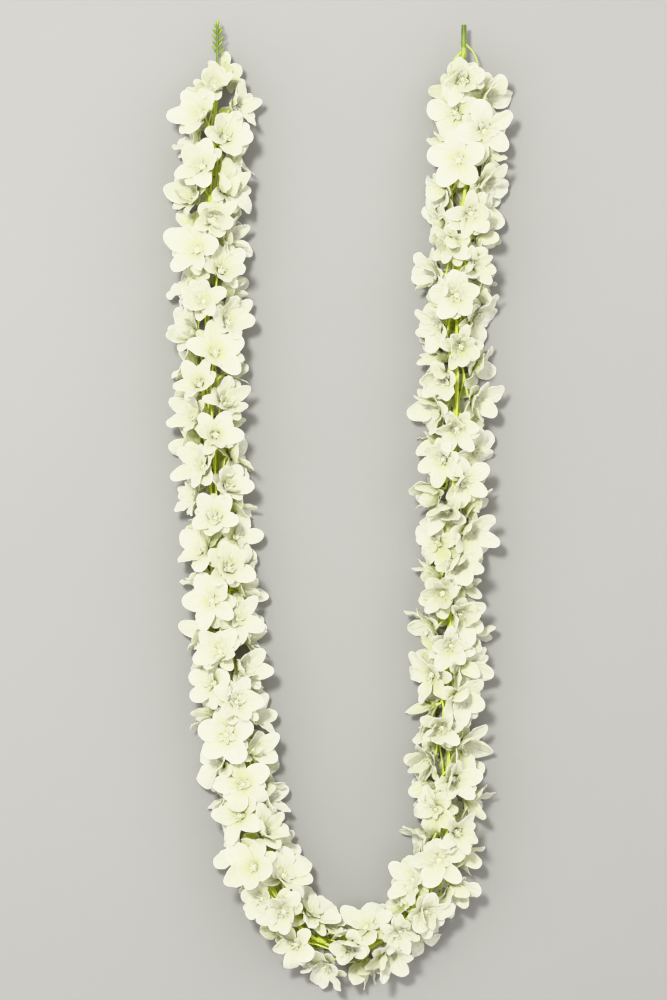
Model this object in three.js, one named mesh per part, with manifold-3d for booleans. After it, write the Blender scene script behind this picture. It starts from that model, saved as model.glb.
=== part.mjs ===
// A flower garland: one long green stem lying in a U, threaded through whorls of white blooms.
// Units are millimetres and degrees. The garland lies on the plane z = 0 with +Z up, +Y running
// from the bend of the U to its open end, and the origin under the middle of its box.
import * as THREE from "three";
import { mergeVertices } from "three/addons/utils/BufferGeometryUtils.js";
import Module from "manifold-3d";

// The stem's route, from its cut root end down one arm, round the bend and up to the tip.
const STEM_ROUTE = [
  [115, 442, 20], [115, 395, 20], [120, 342, 20], [114, 268, 21], [109, 188, 20], [108, 96, 20],
  [105, 4, 21], [103, -88, 20], [99, -180, 20], [101, -262, 21], [96, -318, 20], [74, -368, 20],
  [42, -400, 21], [10, -409, 20], [-22, -400, 20], [-50, -371, 21], [-71, -329, 20],
  [-85, -272, 20], [-97, -198, 21], [-106, -115, 20], [-111, -23, 20], [-116, 60, 21],
  [-120, 152, 20], [-121, 234, 20], [-117, 308, 21], [-113, 372, 20], [-112, 442, 21],
];
const STEM_ROOT_RADIUS = 2;
const STEM_TIP_RADIUS = 1.3;
const STEM_SIDES = 5;
const STEM_STEPS_PER_WHORL = 2;

// The bare green tip ends in a bud, with pairs of small pegs below it.
const TIP_PEG_PAIRS = 5;
const TIP_PEG_SPACING = 5.6;
const TIP_PEG_LENGTH = 9.5;
const TIP_PEG_RADIUS = 1.4;
const TIP_PEG_LEAN = 42;
const TIP_PEG_TURN = 35;
const TIP_PEG_STAGGER = 0.2;
const TIP_BUD_LENGTH = 7;
const TIP_BUD_RADIUS = 2.3;
const BUD_WIDEST_AT = 0.55;
const BUD_SUNK = 0.3;

// Blooms follow one another up the stem at a steady pitch, each turned by the golden angle.
const WHORLS = 36;
const BLOOMS_PER_WHORL = 5;
const BLOOM_PITCH = 9.45;
const FIRST_BLOOM_AT = 52;
const GOLDEN_ANGLE = 137.508;
const TURN_SPREAD = 14;

// Each whorl's stalks grow from a collar round the stem, behind its first bloom.
const COLLAR_LEAD = 26;
const COLLAR_LENGTH = 5;
const COLLAR_SIDES = 5;
const COLLAR_CLEARANCE = 0.3;
const COLLAR_WALL = 1.5;
const COLLAR_CORNER = 0.6;
const STALK_RADIUS = 0.75;
const STALK_TOP_RADIUS = 0.85;
const STALK_SINK = 1.2;
const STALK_ROOT_IN_WALL = 0.75;

// How a bloom stands off the stem: its reach, its lean towards the tip, its sway and its look up.
const REACH = [12.5, 18.5];
const REACH_UNDER = 0.74;
const LEAN = [8, 32];
const SWAY = 20;
const LOOK_UP = 1.2;

// A petal rises from a small ring at the angle `rise` and flattens to the angle `spread` at its end.
const PETALS = 5;
const PETAL_RING = 3.4;
const PETAL_LENGTH = 26.5;
const PETAL_HALF_WIDTH = 9.6;
const PETAL_THICKNESS = 1.2;
const PETAL_CUP = 1.6;
const BLOOM_SIZE = [0.93, 1.1];
const OPEN_RISE = [26, 38];
const OPEN_SPREAD = [-12, 8];
const CUPPED_SHARE = 0.16;
const CUPPED_RISE = [52, 62];
const CUPPED_SPREAD = [28, 44];
const PETAL_DROOP_SPREAD = 7;
const PETAL_TWIST = 10;
const PETAL_LENGTH_SPREAD = 0.06;

// Corners of a petal's outline, as shares of its length and of its half width.
const WIDEST_AT = 0.58;
const WIDEST_FACTOR = 1.04;
const TIP_AT = 0.95;
const TIP_FACTOR = 0.58;

// The throat: a ring of notches between the petals, a raised centre and a calyx behind.
const NOTCH_RADIUS = 4.2;
const NOTCH_HEIGHT = 0.6;
const CENTRE_HEIGHT = 3.6;
const CALYX_DEPTH = 7;
const CALYX_FULLNESS = 0.6;

// Towards the tip the blooms are younger: smaller, closer in and less open. The change starts
// YOUNG_FROM before the stem's end and is complete YOUNG_UNTIL before it.
const YOUNG_FROM = 90;
const YOUNG_UNTIL = 40;
const YOUNG_SIZE = 0.82;
const YOUNG_REACH = 0.6;
const YOUNG_FOLD = 12;

// A bloom's pose is drawn afresh until its petals, bent by one of these angles, lie clear. After
// each round of draws the bloom may turn further and is a little smaller. A bloom is compared with
// the NEIGHBOURS placed just before it. The costs weigh a petal's bend against running into a sister.
const SEED = 6;
const BENDS = [0, 12, -12, 24, -24, 36, -36, 50];
const BEND_AT_ROOT = 0.45;
const POSES = 90;
const SHRINK_PER_ROUND = 0.9;
const ROUNDS = 5;
const GAP = 1.1;
const SISTER_GAP = 0.6;
const SISTER_ROOM = 0.86;
const NEIGHBOURS = 18;
const PRESS_COST = 3;
const EASY = 25;
const CROWDED = 300;
const BLOCKED = 5000;

const WHITE = "#f1f0e2";
const GREEN = "#7fa53a";

const wasm = await Module();
wasm.setup();

const radians = THREE.MathUtils.degToRad;
const between = (range, share) => range[0] + (range[1] - range[0]) * share;

// A small seeded generator of numbers from 0 to 1, one stream for each bloom and pose.
function drawsFor(bloom, pose) {
  let state = (SEED + Math.imul(bloom + 1, 0x9e3779b1) + Math.imul(pose + 1, 0x85ebca6b)) >>> 0;
  return () => {
    state = (state + 0x6d2b79f5) >>> 0;
    let mixed = Math.imul(state ^ (state >>> 15), state | 1);
    mixed ^= mixed + Math.imul(mixed ^ (mixed >>> 7), mixed | 61);
    return ((mixed ^ (mixed >>> 14)) >>> 0) / 4294967296;
  };
}

// The stem's curve, measured by the distance along it from the root end.
const route = new THREE.CatmullRomCurve3(
  STEM_ROUTE.map((point) => new THREE.Vector3(...point)),
  false,
  "catmullrom",
  0.5,
);
route.arcLengthDivisions = 2000;
const STEM_LENGTH = route.getLength();

function stemFrame(distance) {
  const share = THREE.MathUtils.clamp(distance / STEM_LENGTH, 0, 1);
  const origin = route.getPointAt(share);
  const along = route.getTangentAt(share);
  const up = new THREE.Vector3(0, 0, 1).addScaledVector(along, -along.z).normalize();
  const side = new THREE.Vector3().crossVectors(along, up);
  return { origin, along, up, side };
}

const stemRadius = (distance) =>
  THREE.MathUtils.lerp(STEM_ROOT_RADIUS, STEM_TIP_RADIUS, distance / STEM_LENGTH);

// A closed mesh from corners and the triangles between them, as a solid.
function solidFrom(corners, faces) {
  return new wasm.Manifold(
    new wasm.Mesh({
      numProp: 3,
      vertProperties: new Float32Array(corners.flatMap((v) => [v.x, v.y, v.z])),
      triVerts: new Uint32Array(faces.flat()),
    }),
  );
}

function solidFromGeometry(geometry) {
  geometry.deleteAttribute("normal");
  geometry.deleteAttribute("uv");
  const merged = mergeVertices(geometry, 1e-3);
  return new wasm.Manifold(
    new wasm.Mesh({
      numProp: 3,
      vertProperties: merged.attributes.position.array,
      triVerts: new Uint32Array(merged.index.array),
    }),
  );
}

function geometryFrom(solid) {
  const mesh = solid.getMesh();
  const geometry = new THREE.BufferGeometry();
  geometry.setAttribute("position", new THREE.BufferAttribute(mesh.vertProperties, 3));
  geometry.setIndex(new THREE.BufferAttribute(mesh.triVerts, 1));
  geometry.computeVertexNormals();
  return geometry;
}

// One ring of corners round a direction, counted anticlockwise when it points at the viewer.
function ringAt(centre, direction, reference, radius, sides) {
  const first = reference.clone().addScaledVector(direction, -reference.dot(direction)).normalize();
  const second = new THREE.Vector3().crossVectors(direction, first);
  return Array.from({ length: sides }, (_, i) => {
    const angle = (2 * Math.PI * i) / sides;
    return centre
      .clone()
      .addScaledVector(first, radius * Math.cos(angle))
      .addScaledVector(second, radius * Math.sin(angle));
  });
}

// The wall between two equal rings, the first one further along the direction.
function wallBetween(upper, lower, faces) {
  upper.forEach((corner, i) => {
    const next = (i + 1) % upper.length;
    faces.push([corner, lower[i], upper[next]], [upper[next], lower[i], lower[next]]);
  });
}

// The distances along the stem of its rings, so that each collar sits on one straight stretch.
const WHORL_PITCH = BLOOM_PITCH * BLOOMS_PER_WHORL;
const STEM_STEP = WHORL_PITCH / STEM_STEPS_PER_WHORL;
const collarAt = (whorl) => FIRST_BLOOM_AT + whorl * WHORL_PITCH - COLLAR_LEAD;
const stemStations = [0];
for (let at = collarAt(0) - STEM_STEP / 2; at < STEM_LENGTH - STEM_STEP / 2; at += STEM_STEP)
  stemStations.push(at);
stemStations.push(STEM_LENGTH);

// A slim bud from its root to its point: a ring of corners with a peak at each end.
function budSolid(root, direction, reference, length, radius, sides) {
  const middle = root.clone().addScaledVector(direction, length * BUD_WIDEST_AT);
  const ring = ringAt(middle, direction, reference, radius, sides);
  const corners = [...ring, root, root.clone().addScaledVector(direction, length)];
  const faces = ring.flatMap((_, i) => {
    const next = (i + 1) % sides;
    return [[i, next, sides + 1], [next, i, sides]];
  });
  return solidFrom(corners, faces);
}

function stemSolid() {
  const corners = [];
  const faces = [];
  const rings = stemStations.map((at) => {
    const { origin, along, up } = stemFrame(at);
    const start = corners.length;
    corners.push(...ringAt(origin, along, up, stemRadius(at), STEM_SIDES));
    return Array.from({ length: STEM_SIDES }, (_, i) => start + i);
  });
  for (let i = 1; i < rings.length; i++) wallBetween(rings[i], rings[i - 1], faces);
  for (let i = 1; i < STEM_SIDES - 1; i++) {
    const last = rings[rings.length - 1];
    faces.push([0, i + 1, i], [last[0], last[i], last[i + 1]]);
  }
  let stem = solidFrom(corners, faces);

  const tip = stemFrame(STEM_LENGTH);
  const budRoot = tip.origin.clone().addScaledVector(tip.along, -TIP_BUD_LENGTH * BUD_SUNK);
  stem = stem.add(budSolid(budRoot, tip.along, tip.up, TIP_BUD_LENGTH, TIP_BUD_RADIUS, 4));
  for (let pair = 0; pair < TIP_PEG_PAIRS; pair++)
    for (const hand of [-1, 1]) {
      const at = STEM_LENGTH - TIP_PEG_SPACING * (pair + 0.9 + TIP_PEG_STAGGER * hand);
      const { origin, along, up, side } = stemFrame(at);
      const lean = radians(TIP_PEG_LEAN);
      const turn = radians(TIP_PEG_TURN * (pair % 2));
      const outward = side.clone().multiplyScalar(hand * Math.cos(turn));
      outward.addScaledVector(up, Math.sin(turn) * hand);
      const direction = along.clone().multiplyScalar(Math.cos(lean));
      direction.addScaledVector(outward, Math.sin(lean));
      stem = stem.add(budSolid(origin, direction, up, TIP_PEG_LENGTH, TIP_PEG_RADIUS, 3));
    }
  return stem;
}

// A collar is a short ring with a hole, on the straight stretch of stem where its whorl starts.
function collarFrame(whorl) {
  const at = collarAt(whorl);
  const before = stemFrame(at - STEM_STEP / 2).origin;
  const after = stemFrame(at + STEM_STEP / 2).origin;
  const along = after.clone().sub(before).normalize();
  const up = new THREE.Vector3(0, 0, 1).addScaledVector(along, -along.z).normalize();
  const side = new THREE.Vector3().crossVectors(along, up);
  const hole = stemRadius(at - STEM_STEP / 2) + COLLAR_CLEARANCE;
  return { origin: before.lerp(after, 0.5), along, up, side, hole };
}

function polygon(path, inradius, sides) {
  const radius = inradius / Math.cos(Math.PI / sides);
  const points = Array.from({ length: sides }, (_, i) => {
    const angle = (2 * Math.PI * i) / sides;
    return new THREE.Vector2(radius * Math.cos(angle), radius * Math.sin(angle));
  });
  return path.setFromPoints(points);
}

function collarSolid({ origin, along, up, side, hole }) {
  const outline = polygon(new THREE.Shape(), hole + COLLAR_WALL, COLLAR_SIDES);
  outline.holes.push(polygon(new THREE.Path(), hole, COLLAR_SIDES));
  const geometry = new THREE.ExtrudeGeometry(outline, { depth: COLLAR_LENGTH, bevelEnabled: false });
  geometry.translate(0, 0, -COLLAR_LENGTH / 2);
  geometry.applyMatrix4(new THREE.Matrix4().makeBasis(up, side, along));
  geometry.translate(origin.x, origin.y, origin.z);
  return solidFromGeometry(geometry);
}

// Where a bloom stands and how its petals are shaped, for one draw of its pose.
function bloomPose(bloom, pose) {
  const draw = drawsFor(bloom, pose);
  const spread = () => 2 * draw() - 1;
  const at = FIRST_BLOOM_AT + bloom * BLOOM_PITCH;
  const { origin, along, up, side } = stemFrame(at);
  const youth = THREE.MathUtils.smoothstep(at, STEM_LENGTH - YOUNG_FROM, STEM_LENGTH - YOUNG_UNTIL);
  const round = Math.floor(pose / POSES);
  const turn = radians(bloom * GOLDEN_ANGLE + TURN_SPREAD * (1 + round) * spread());
  const outward = up.clone().multiplyScalar(Math.cos(turn)).addScaledVector(side, Math.sin(turn));
  const under = Math.max(0, -outward.z);

  const reach =
    between(REACH, draw()) * (1 - (1 - REACH_UNDER) * under) * (1 - (1 - YOUNG_REACH) * youth);
  const lean = radians(between(LEAN, draw()));
  const sway = radians(SWAY * spread());
  const normal = outward.clone().addScaledVector(along, Math.tan(lean));
  normal.addScaledVector(new THREE.Vector3().crossVectors(along, outward), Math.tan(sway));
  normal.z += (LOOK_UP * (1 + outward.z)) / 2;
  normal.normalize();

  const roll = radians((360 / PETALS) * draw());
  const size =
    between(BLOOM_SIZE, draw()) * (1 - (1 - YOUNG_SIZE) * youth) * SHRINK_PER_ROUND ** round;
  const cupped = draw() < CUPPED_SHARE;
  const opening = draw();
  const rise = between(cupped ? CUPPED_RISE : OPEN_RISE, opening) + YOUNG_FOLD * youth;
  const flat = between(cupped ? CUPPED_SPREAD : OPEN_SPREAD, opening) + YOUNG_FOLD * youth;

  const first = along.clone().addScaledVector(normal, -along.dot(normal)).normalize();
  const second = new THREE.Vector3().crossVectors(normal, first);
  const throat = origin.clone().addScaledVector(outward, reach);
  const petals = Array.from({ length: PETALS }, (_, i) => ({
    angle: roll + (2 * Math.PI * i) / PETALS,
    spread: flat + PETAL_DROOP_SPREAD * spread(),
    twist: radians(PETAL_TWIST * spread()),
    length: PETAL_LENGTH * size * (1 + PETAL_LENGTH_SPREAD * spread()),
  }));
  return { throat, normal, first, second, outward, size, rise, petals };
}

// A petal's midline at a share of its length: its distance out, its height and its slope.
function petalWay(pose, petal, bend, share) {
  const rise = radians(pose.rise + BEND_AT_ROOT * bend);
  const flat = radians(petal.spread + bend);
  const slope = rise + (flat - rise) * share;
  const radius = petal.length / (flat - rise);
  const out = PETAL_RING * pose.size + radius * (Math.sin(slope) - Math.sin(rise));
  const height = radius * (Math.cos(rise) - Math.cos(slope));
  return { out, height, slope };
}

// Half of a petal's width: its full size, or less where it stands so steep that its sisters crowd it.
function petalHalfWidth(pose, petal, bend) {
  const { out } = petalWay(pose, petal, bend, WIDEST_AT);
  return Math.min(PETAL_HALF_WIDTH * pose.size, SISTER_ROOM * out * Math.tan(Math.PI / PETALS));
}

// A point on a petal, at a share of its length and a distance to one side of its midline.
function petalPoint(pose, petal, bend, share, sideways) {
  const { out, height, slope } = petalWay(pose, petal, bend, share);
  const outward = pose.first.clone().multiplyScalar(Math.cos(petal.angle));
  outward.addScaledVector(pose.second, Math.sin(petal.angle));
  const across = new THREE.Vector3().crossVectors(pose.normal, outward);
  const above = pose.normal.clone().multiplyScalar(Math.cos(slope));
  above.addScaledVector(outward, -Math.sin(slope));
  const twist = petal.twist * share;
  const lift = PETAL_CUP * (sideways / PETAL_HALF_WIDTH) ** 2 + sideways * Math.sin(twist);
  const point = pose.throat.clone().addScaledVector(outward, out);
  point.addScaledVector(pose.normal, height);
  point.addScaledVector(across, sideways * Math.cos(twist));
  return point.addScaledVector(above, lift);
}

const notchPoint = (pose, angle) =>
  pose.throat
    .clone()
    .addScaledVector(pose.first, NOTCH_RADIUS * pose.size * Math.cos(angle))
    .addScaledVector(pose.second, NOTCH_RADIUS * pose.size * Math.sin(angle))
    .addScaledVector(pose.normal, NOTCH_HEIGHT);

// A petal's corners: its two notches, its two shoulders, its two tip corners and its ridge.
// Whatever would reach below the surface that the garland lies on is pressed flat against it.
function petalCorners(pose, petal, bend) {
  const halfStep = Math.PI / PETALS;
  const notches = [-1, 1].map((hand) => notchPoint(pose, petal.angle + hand * halfStep));
  const halfWidth = petalHalfWidth(pose, petal, bend);
  const shoulders = [-1, 1].map((hand) =>
    petalPoint(pose, petal, bend, WIDEST_AT, hand * halfWidth * WIDEST_FACTOR),
  );
  const tips = [-1, 1].map((hand) =>
    petalPoint(pose, petal, bend, TIP_AT, hand * halfWidth * TIP_FACTOR),
  );
  const sunk = Math.max(0, -tips[0].z, -tips[1].z);
  shoulders.forEach((v) => (v.z = Math.max(v.z, PETAL_THICKNESS)));
  tips.forEach((v) => (v.z = Math.max(v.z, 0)));
  const root = notches[0].clone().lerp(notches[1], 0.5);
  const wide = shoulders[0].clone().lerp(shoulders[1], 0.5);
  const lengthwise = wide.clone().sub(root).normalize();
  const crosswise = shoulders[1].clone().sub(shoulders[0]).normalize();
  const above = lengthwise.cross(crosswise).normalize();
  const ridge = wide.addScaledVector(above, PETAL_THICKNESS);
  const pressed = above.z < 0 && tips[0].z === 0 && tips[1].z === 0;
  if (ridge.z < (pressed ? PETAL_THICKNESS : 0)) ridge.z = 0;
  const corners = [notches[0], shoulders[0], tips[0], tips[1], shoulders[1], notches[1], ridge];
  return { corners, sunk };
}

// Faces and edges of a petal on its seven corners, for the test of what lies clear.
const BLADE_FACES = [
  [6, 0, 1], [6, 1, 2], [6, 2, 3], [6, 3, 4], [6, 4, 5],
  [0, 5, 4], [0, 4, 1], [1, 3, 2], [1, 4, 3],
];
const BLADE_OUTLINE = [[0, 1], [1, 2], [2, 3], [3, 4], [4, 5]];
const OUTER_EDGES = [[1, 2], [2, 3], [3, 4]];
const BLADE_EDGES = [...BLADE_OUTLINE, [6, 1], [6, 2], [6, 3], [6, 4]];

function bladeOf(pose, petal, bend) {
  const { corners, sunk } = petalCorners(pose, petal, bend);
  return { corners, sunk, box: new THREE.Box3().setFromPoints(corners) };
}

function rodOf(start, end, radius) {
  const box = new THREE.Box3().setFromPoints([start, end]).expandByScalar(radius);
  return { start, end, radius, box };
}

const ray = new THREE.Ray();
const triangle = new THREE.Triangle();
const spot = new THREE.Vector3();

function crosses(start, end, a, b, c) {
  ray.origin.copy(start);
  ray.direction.subVectors(end, start);
  const reach = ray.direction.length();
  ray.direction.divideScalar(reach);
  return ray.intersectTriangle(a, b, c, false, spot) !== null && spot.distanceTo(start) <= reach;
}

const alongA = new THREE.Vector3();
const alongB = new THREE.Vector3();
const apart = new THREE.Vector3();

// The distance between two straight lines with ends.
function lineGap(a0, a1, b0, b1) {
  alongA.subVectors(a1, a0);
  alongB.subVectors(b1, b0);
  apart.subVectors(a0, b0);
  const a = alongA.lengthSq();
  const e = alongB.lengthSq();
  const b = alongA.dot(alongB);
  const c = alongA.dot(apart);
  const f = alongB.dot(apart);
  const clamp = THREE.MathUtils.clamp;
  const spread = a * e - b * b;
  let s = spread > 1e-9 ? clamp((b * f - c * e) / spread, 0, 1) : 0;
  const t = clamp((b * s + f) / e, 0, 1);
  s = clamp((b * t - c) / a, 0, 1);
  return apart.addScaledVector(alongA, s).addScaledVector(alongB, -t).length();
}

function pointNearBlade(point, blade, gap) {
  return BLADE_FACES.some(([i, j, k]) => {
    triangle.set(blade.corners[i], blade.corners[j], blade.corners[k]);
    return triangle.closestPointToPoint(point, spot).distanceToSquared(point) < gap * gap;
  });
}

function lineCrossesBlade(start, end, { corners }) {
  return BLADE_FACES.some(([i, j, k]) => crosses(start, end, corners[i], corners[j], corners[k]));
}

const boxesNear = (a, b, gap) =>
  a.min.x - gap < b.max.x && b.min.x - gap < a.max.x &&
  a.min.y - gap < b.max.y && b.min.y - gap < a.max.y &&
  a.min.z - gap < b.max.z && b.min.z - gap < a.max.z;

function bladesMeet(a, b, gap) {
  if (!boxesNear(a.box, b.box, gap)) return false;
  const outlines = BLADE_OUTLINE.some(([i, j]) =>
    BLADE_OUTLINE.some(
      ([k, l]) => lineGap(a.corners[i], a.corners[j], b.corners[k], b.corners[l]) < gap,
    ),
  );
  if (outlines) return true;
  if (BLADE_EDGES.some(([i, j]) => lineCrossesBlade(a.corners[i], a.corners[j], b))) return true;
  if (BLADE_EDGES.some(([i, j]) => lineCrossesBlade(b.corners[i], b.corners[j], a))) return true;
  if (a.corners.some((corner) => pointNearBlade(corner, b, gap))) return true;
  return b.corners.some((corner) => pointNearBlade(corner, a, gap));
}

// Petals of one bloom share their notches, so only their outer edges are held apart.
function sistersMeet(a, b) {
  return OUTER_EDGES.some(([i, j]) =>
    OUTER_EDGES.some(
      ([k, l]) => lineGap(a.corners[i], a.corners[j], b.corners[k], b.corners[l]) < SISTER_GAP,
    ) ||
    lineCrossesBlade(a.corners[i], a.corners[j], b) ||
    lineCrossesBlade(b.corners[i], b.corners[j], a),
  );
}

function bladeMeetsRod(blade, rod, gap) {
  if (!boxesNear(blade.box, rod.box, gap)) return false;
  const room = gap + rod.radius;
  const { corners } = blade;
  if (BLADE_EDGES.some(([i, j]) => lineGap(corners[i], corners[j], rod.start, rod.end) < room))
    return true;
  if (lineCrossesBlade(rod.start, rod.end, blade)) return true;
  return pointNearBlade(rod.start, blade, room) || pointNearBlade(rod.end, blade, room);
}

const rodsMeet = (a, b, gap) =>
  boxesNear(a.box, b.box, gap) &&
  lineGap(a.start, a.end, b.start, b.end) < a.radius + b.radius + gap;

// The stem and the collars, as rods that every bloom keeps clear of.
const collarFrames = Array.from({ length: WHORLS }, (_, whorl) => collarFrame(whorl));
const stemRods = stemStations.slice(1).map((at, i) =>
  rodOf(stemFrame(stemStations[i]).origin, stemFrame(at).origin, stemRadius(stemStations[i])),
);
const collarRods = collarFrames.map(({ origin, along, hole }) => {
  const ends = [-0.5, 0.5].map((share) =>
    origin.clone().addScaledVector(along, share * COLLAR_LENGTH),
  );
  return rodOf(ends[0], ends[1], hole + COLLAR_WALL + COLLAR_CORNER);
});

// The stalk's line from its root in the collar's wall to the calyx behind the throat.
function stalkLine(pose, whorl) {
  const { origin, along, up, side, hole } = collarFrames[whorl];
  const flat = pose.outward.clone().addScaledVector(along, -pose.outward.dot(along)).normalize();
  const turn = Math.atan2(flat.dot(side), flat.dot(up));
  const outward = up.clone().multiplyScalar(Math.cos(turn)).addScaledVector(side, Math.sin(turn));
  const root = origin
    .clone()
    .addScaledVector(outward, hole + COLLAR_WALL * STALK_ROOT_IN_WALL)
    .addScaledVector(along, COLLAR_LENGTH / 2 - STALK_SINK);
  const top = pose.throat.clone().addScaledVector(pose.normal, -CALYX_DEPTH * pose.size);
  return { root, top };
}

// Chooses the pose whose petals and stalk lie clear of everything placed so far, with the least
// bending. Where none does, a petal may run into its own whorl, which is one body anyway.
function placeBloom(bloom, placed) {
  const whorl = Math.floor(bloom / BLOOMS_PER_WHORL);
  const near = placed.slice(-NEIGHBOURS);
  const own = near.filter((other) => other.whorl === whorl);
  const others = near.filter((other) => other.whorl !== whorl);
  const bladesOf = (blooms) => blooms.flatMap((other) => other.blades);
  const rodsOf = (blooms) => blooms.flatMap((other) => other.rods);
  const foreign = {
    blades: bladesOf(others),
    rods: [...rodsOf(others), ...collarRods.filter((_, i) => i !== whorl)],
  };
  const sisters = { blades: bladesOf(own), rods: rodsOf(own) };
  const bladeBlocked = (blade, { blades, rods }) =>
    blades.some((other) => bladesMeet(other, blade, GAP)) ||
    rods.some((rod) => bladeMeetsRod(blade, rod, GAP));

  let best = null;
  for (let attempt = 0; attempt < POSES * ROUNDS; attempt++) {
    if (best && best.cost < CROWDED && attempt % POSES === 0) break;
    const pose = bloomPose(bloom, attempt);
    const { root, top } = stalkLine(pose, whorl);
    const stalk = rodOf(root, top, STALK_TOP_RADIUS);
    const calyx = rodOf(top, pose.throat, NOTCH_RADIUS * CALYX_FULLNESS);
    const rods = [stalk, calyx];
    const rodsBlocked =
      rods.some((rod) => foreign.rods.some((other) => rodsMeet(rod, other, GAP))) ||
      rods.some((rod) => foreign.blades.some((blade) => bladeMeetsRod(blade, rod, GAP))) ||
      rods.some((rod) => stemRods.some((other) => rodsMeet(rod, other, COLLAR_CLEARANCE)));
    const rodsCrowded = rods.some((rod) =>
      sisters.blades.some((blade) => bladeMeetsRod(blade, rod, GAP)),
    );
    let cost = (rodsBlocked ? BLOCKED : 0) + (rodsCrowded ? CROWDED : 0);
    const chosen = [];
    for (const petal of pose.petals) {
      if (best && cost >= best.cost) break;
      const options = BENDS.map((bend) => ({ petal, bend, blade: null }));
      let pick = null;
      for (const option of options) {
        option.blade = bladeOf(pose, petal, option.bend);
        option.cost = Math.abs(option.bend) + PRESS_COST * option.blade.sunk;
        if (bladeBlocked(option.blade, foreign)) option.cost += BLOCKED;
        if (stemRods.some((rod) => bladeMeetsRod(option.blade, rod, GAP))) option.cost += BLOCKED;
        if (chosen.some((other) => sistersMeet(other.blade, option.blade))) option.cost += BLOCKED;
        if (bladeBlocked(option.blade, sisters)) option.cost += CROWDED;
        if (!pick || option.cost < pick.cost) pick = option;
        if (option.cost < EASY) break;
      }
      cost += pick.cost;
      chosen.push(pick);
    }
    if (chosen.length === PETALS && (!best || cost < best.cost))
      best = { cost, pose, attempt, whorl, root, top, chosen, rods };
    if (best && best.cost <= EASY) break;
  }
  best.blades = best.chosen.map((petal) => petal.blade);
  return best;
}

// The band of triangles between the ring of notches and the top of the three-sided stalk.
function bandBetween(upper, lower, corners, pose, faces) {
  const angleOf = (index) => {
    const v = corners[index].clone().sub(pose.throat);
    return Math.atan2(v.dot(pose.second), v.dot(pose.first));
  };
  const wrap = (angle, from) => angle - 2 * Math.PI * Math.floor((angle - from) / (2 * Math.PI));
  const start = angleOf(upper[0]);
  const sorted = (loop, from) =>
    loop
      .map((index) => ({ index, angle: wrap(angleOf(index), from) }))
      .sort((a, b) => a.angle - b.angle);
  const top = sorted(upper, start - 1e-9);
  const bottom = sorted(lower, start - Math.PI / lower.length);
  const at = (loop, i) => loop[i % loop.length].angle + (i >= loop.length ? 2 * Math.PI : 0);
  let i = 0;
  let j = 0;
  while (i < top.length || j < bottom.length) {
    const stepUpper = (at(top, i) + at(top, i + 1)) / 2;
    const stepLower = (at(bottom, j) + at(bottom, j + 1)) / 2;
    const upperNow = top[i % top.length].index;
    const lowerNow = bottom[j % bottom.length].index;
    if (j >= bottom.length || (i < top.length && stepUpper <= stepLower)) {
      faces.push([upperNow, lowerNow, top[(i + 1) % top.length].index]);
      i += 1;
    } else {
      faces.push([upperNow, lowerNow, bottom[(j + 1) % bottom.length].index]);
      j += 1;
    }
  }
}

// Two triangles over the four corners of a petal's back, split along the diagonal further from its
// ridge, so that a waved petal's two faces never cross.
function backFaces([a, b, c, d], corners, ridge) {
  const diagonalA = corners[c].clone().sub(corners[a]);
  const diagonalB = corners[d].clone().sub(corners[b]);
  const normal = diagonalA.cross(diagonalB);
  const height = (i, j) => corners[i].dot(normal) + corners[j].dot(normal);
  const ridgeHeight = 2 * corners[ridge].dot(normal);
  const gapA = Math.abs(ridgeHeight - height(a, c));
  const gapB = Math.abs(ridgeHeight - height(b, d));
  if (gapA > gapB) return [[a, b, c], [a, c, d]];
  return [[a, b, d], [b, c, d]];
}

// One bloom with its calyx and stalk, as a single closed skin.
function bloomSolid({ pose, root, top, chosen }) {
  const corners = [];
  const faces = [];
  const add = (...points) => {
    corners.push(...points);
    return points.map((_, i) => corners.length - points.length + i);
  };
  const [centre] = add(
    pose.throat.clone().addScaledVector(pose.normal, CENTRE_HEIGHT * pose.size),
  );
  const notches = add(...chosen.map(({ blade }) => blade.corners[0]));
  chosen.forEach(({ blade }, i) => {
    const [, shoulderA, tipA, tipB, shoulderB, , ridge] = blade.corners;
    const [a, b, c, d, m] = add(shoulderA, tipA, tipB, shoulderB, ridge);
    const n0 = notches[i];
    const n1 = notches[(i + 1) % PETALS];
    faces.push([m, n0, a], [m, a, b], [m, b, c], [m, c, d], [m, d, n1], [m, n1, centre]);
    faces.push([m, centre, n0]);
    faces.push(...backFaces([n0, n1, d, a], corners, m), ...backFaces([a, d, c, b], corners, m));
  });

  const stalkWay = top.clone().sub(root).normalize();
  const calyxWay = pose.normal;
  const bendWay = stalkWay.clone().add(calyxWay).normalize();
  const reference = new THREE.Vector3().crossVectors(stalkWay, calyxWay);
  if (reference.length() < 1e-3) reference.copy(pose.first);
  const upper = add(...ringAt(top, bendWay, reference, STALK_TOP_RADIUS, 3));
  const lower = add(...ringAt(root, stalkWay, reference, STALK_RADIUS, 3));
  bandBetween(notches, upper, corners, pose, faces);
  wallBetween(upper, lower, faces);
  faces.push([lower[0], lower[2], lower[1]]);
  return solidFrom(corners, faces);
}

function plasticMaterial(colour, roughness) {
  return new THREE.MeshStandardMaterial({ color: colour, roughness, metalness: 0 });
}

function namedMesh(name, solid, material) {
  const mesh = new THREE.Mesh(geometryFrom(solid), material);
  mesh.name = name;
  return mesh;
}

const placed = [];
for (let bloom = 0; bloom < WHORLS * BLOOMS_PER_WHORL; bloom++)
  placed.push(placeBloom(bloom, placed));

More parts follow.
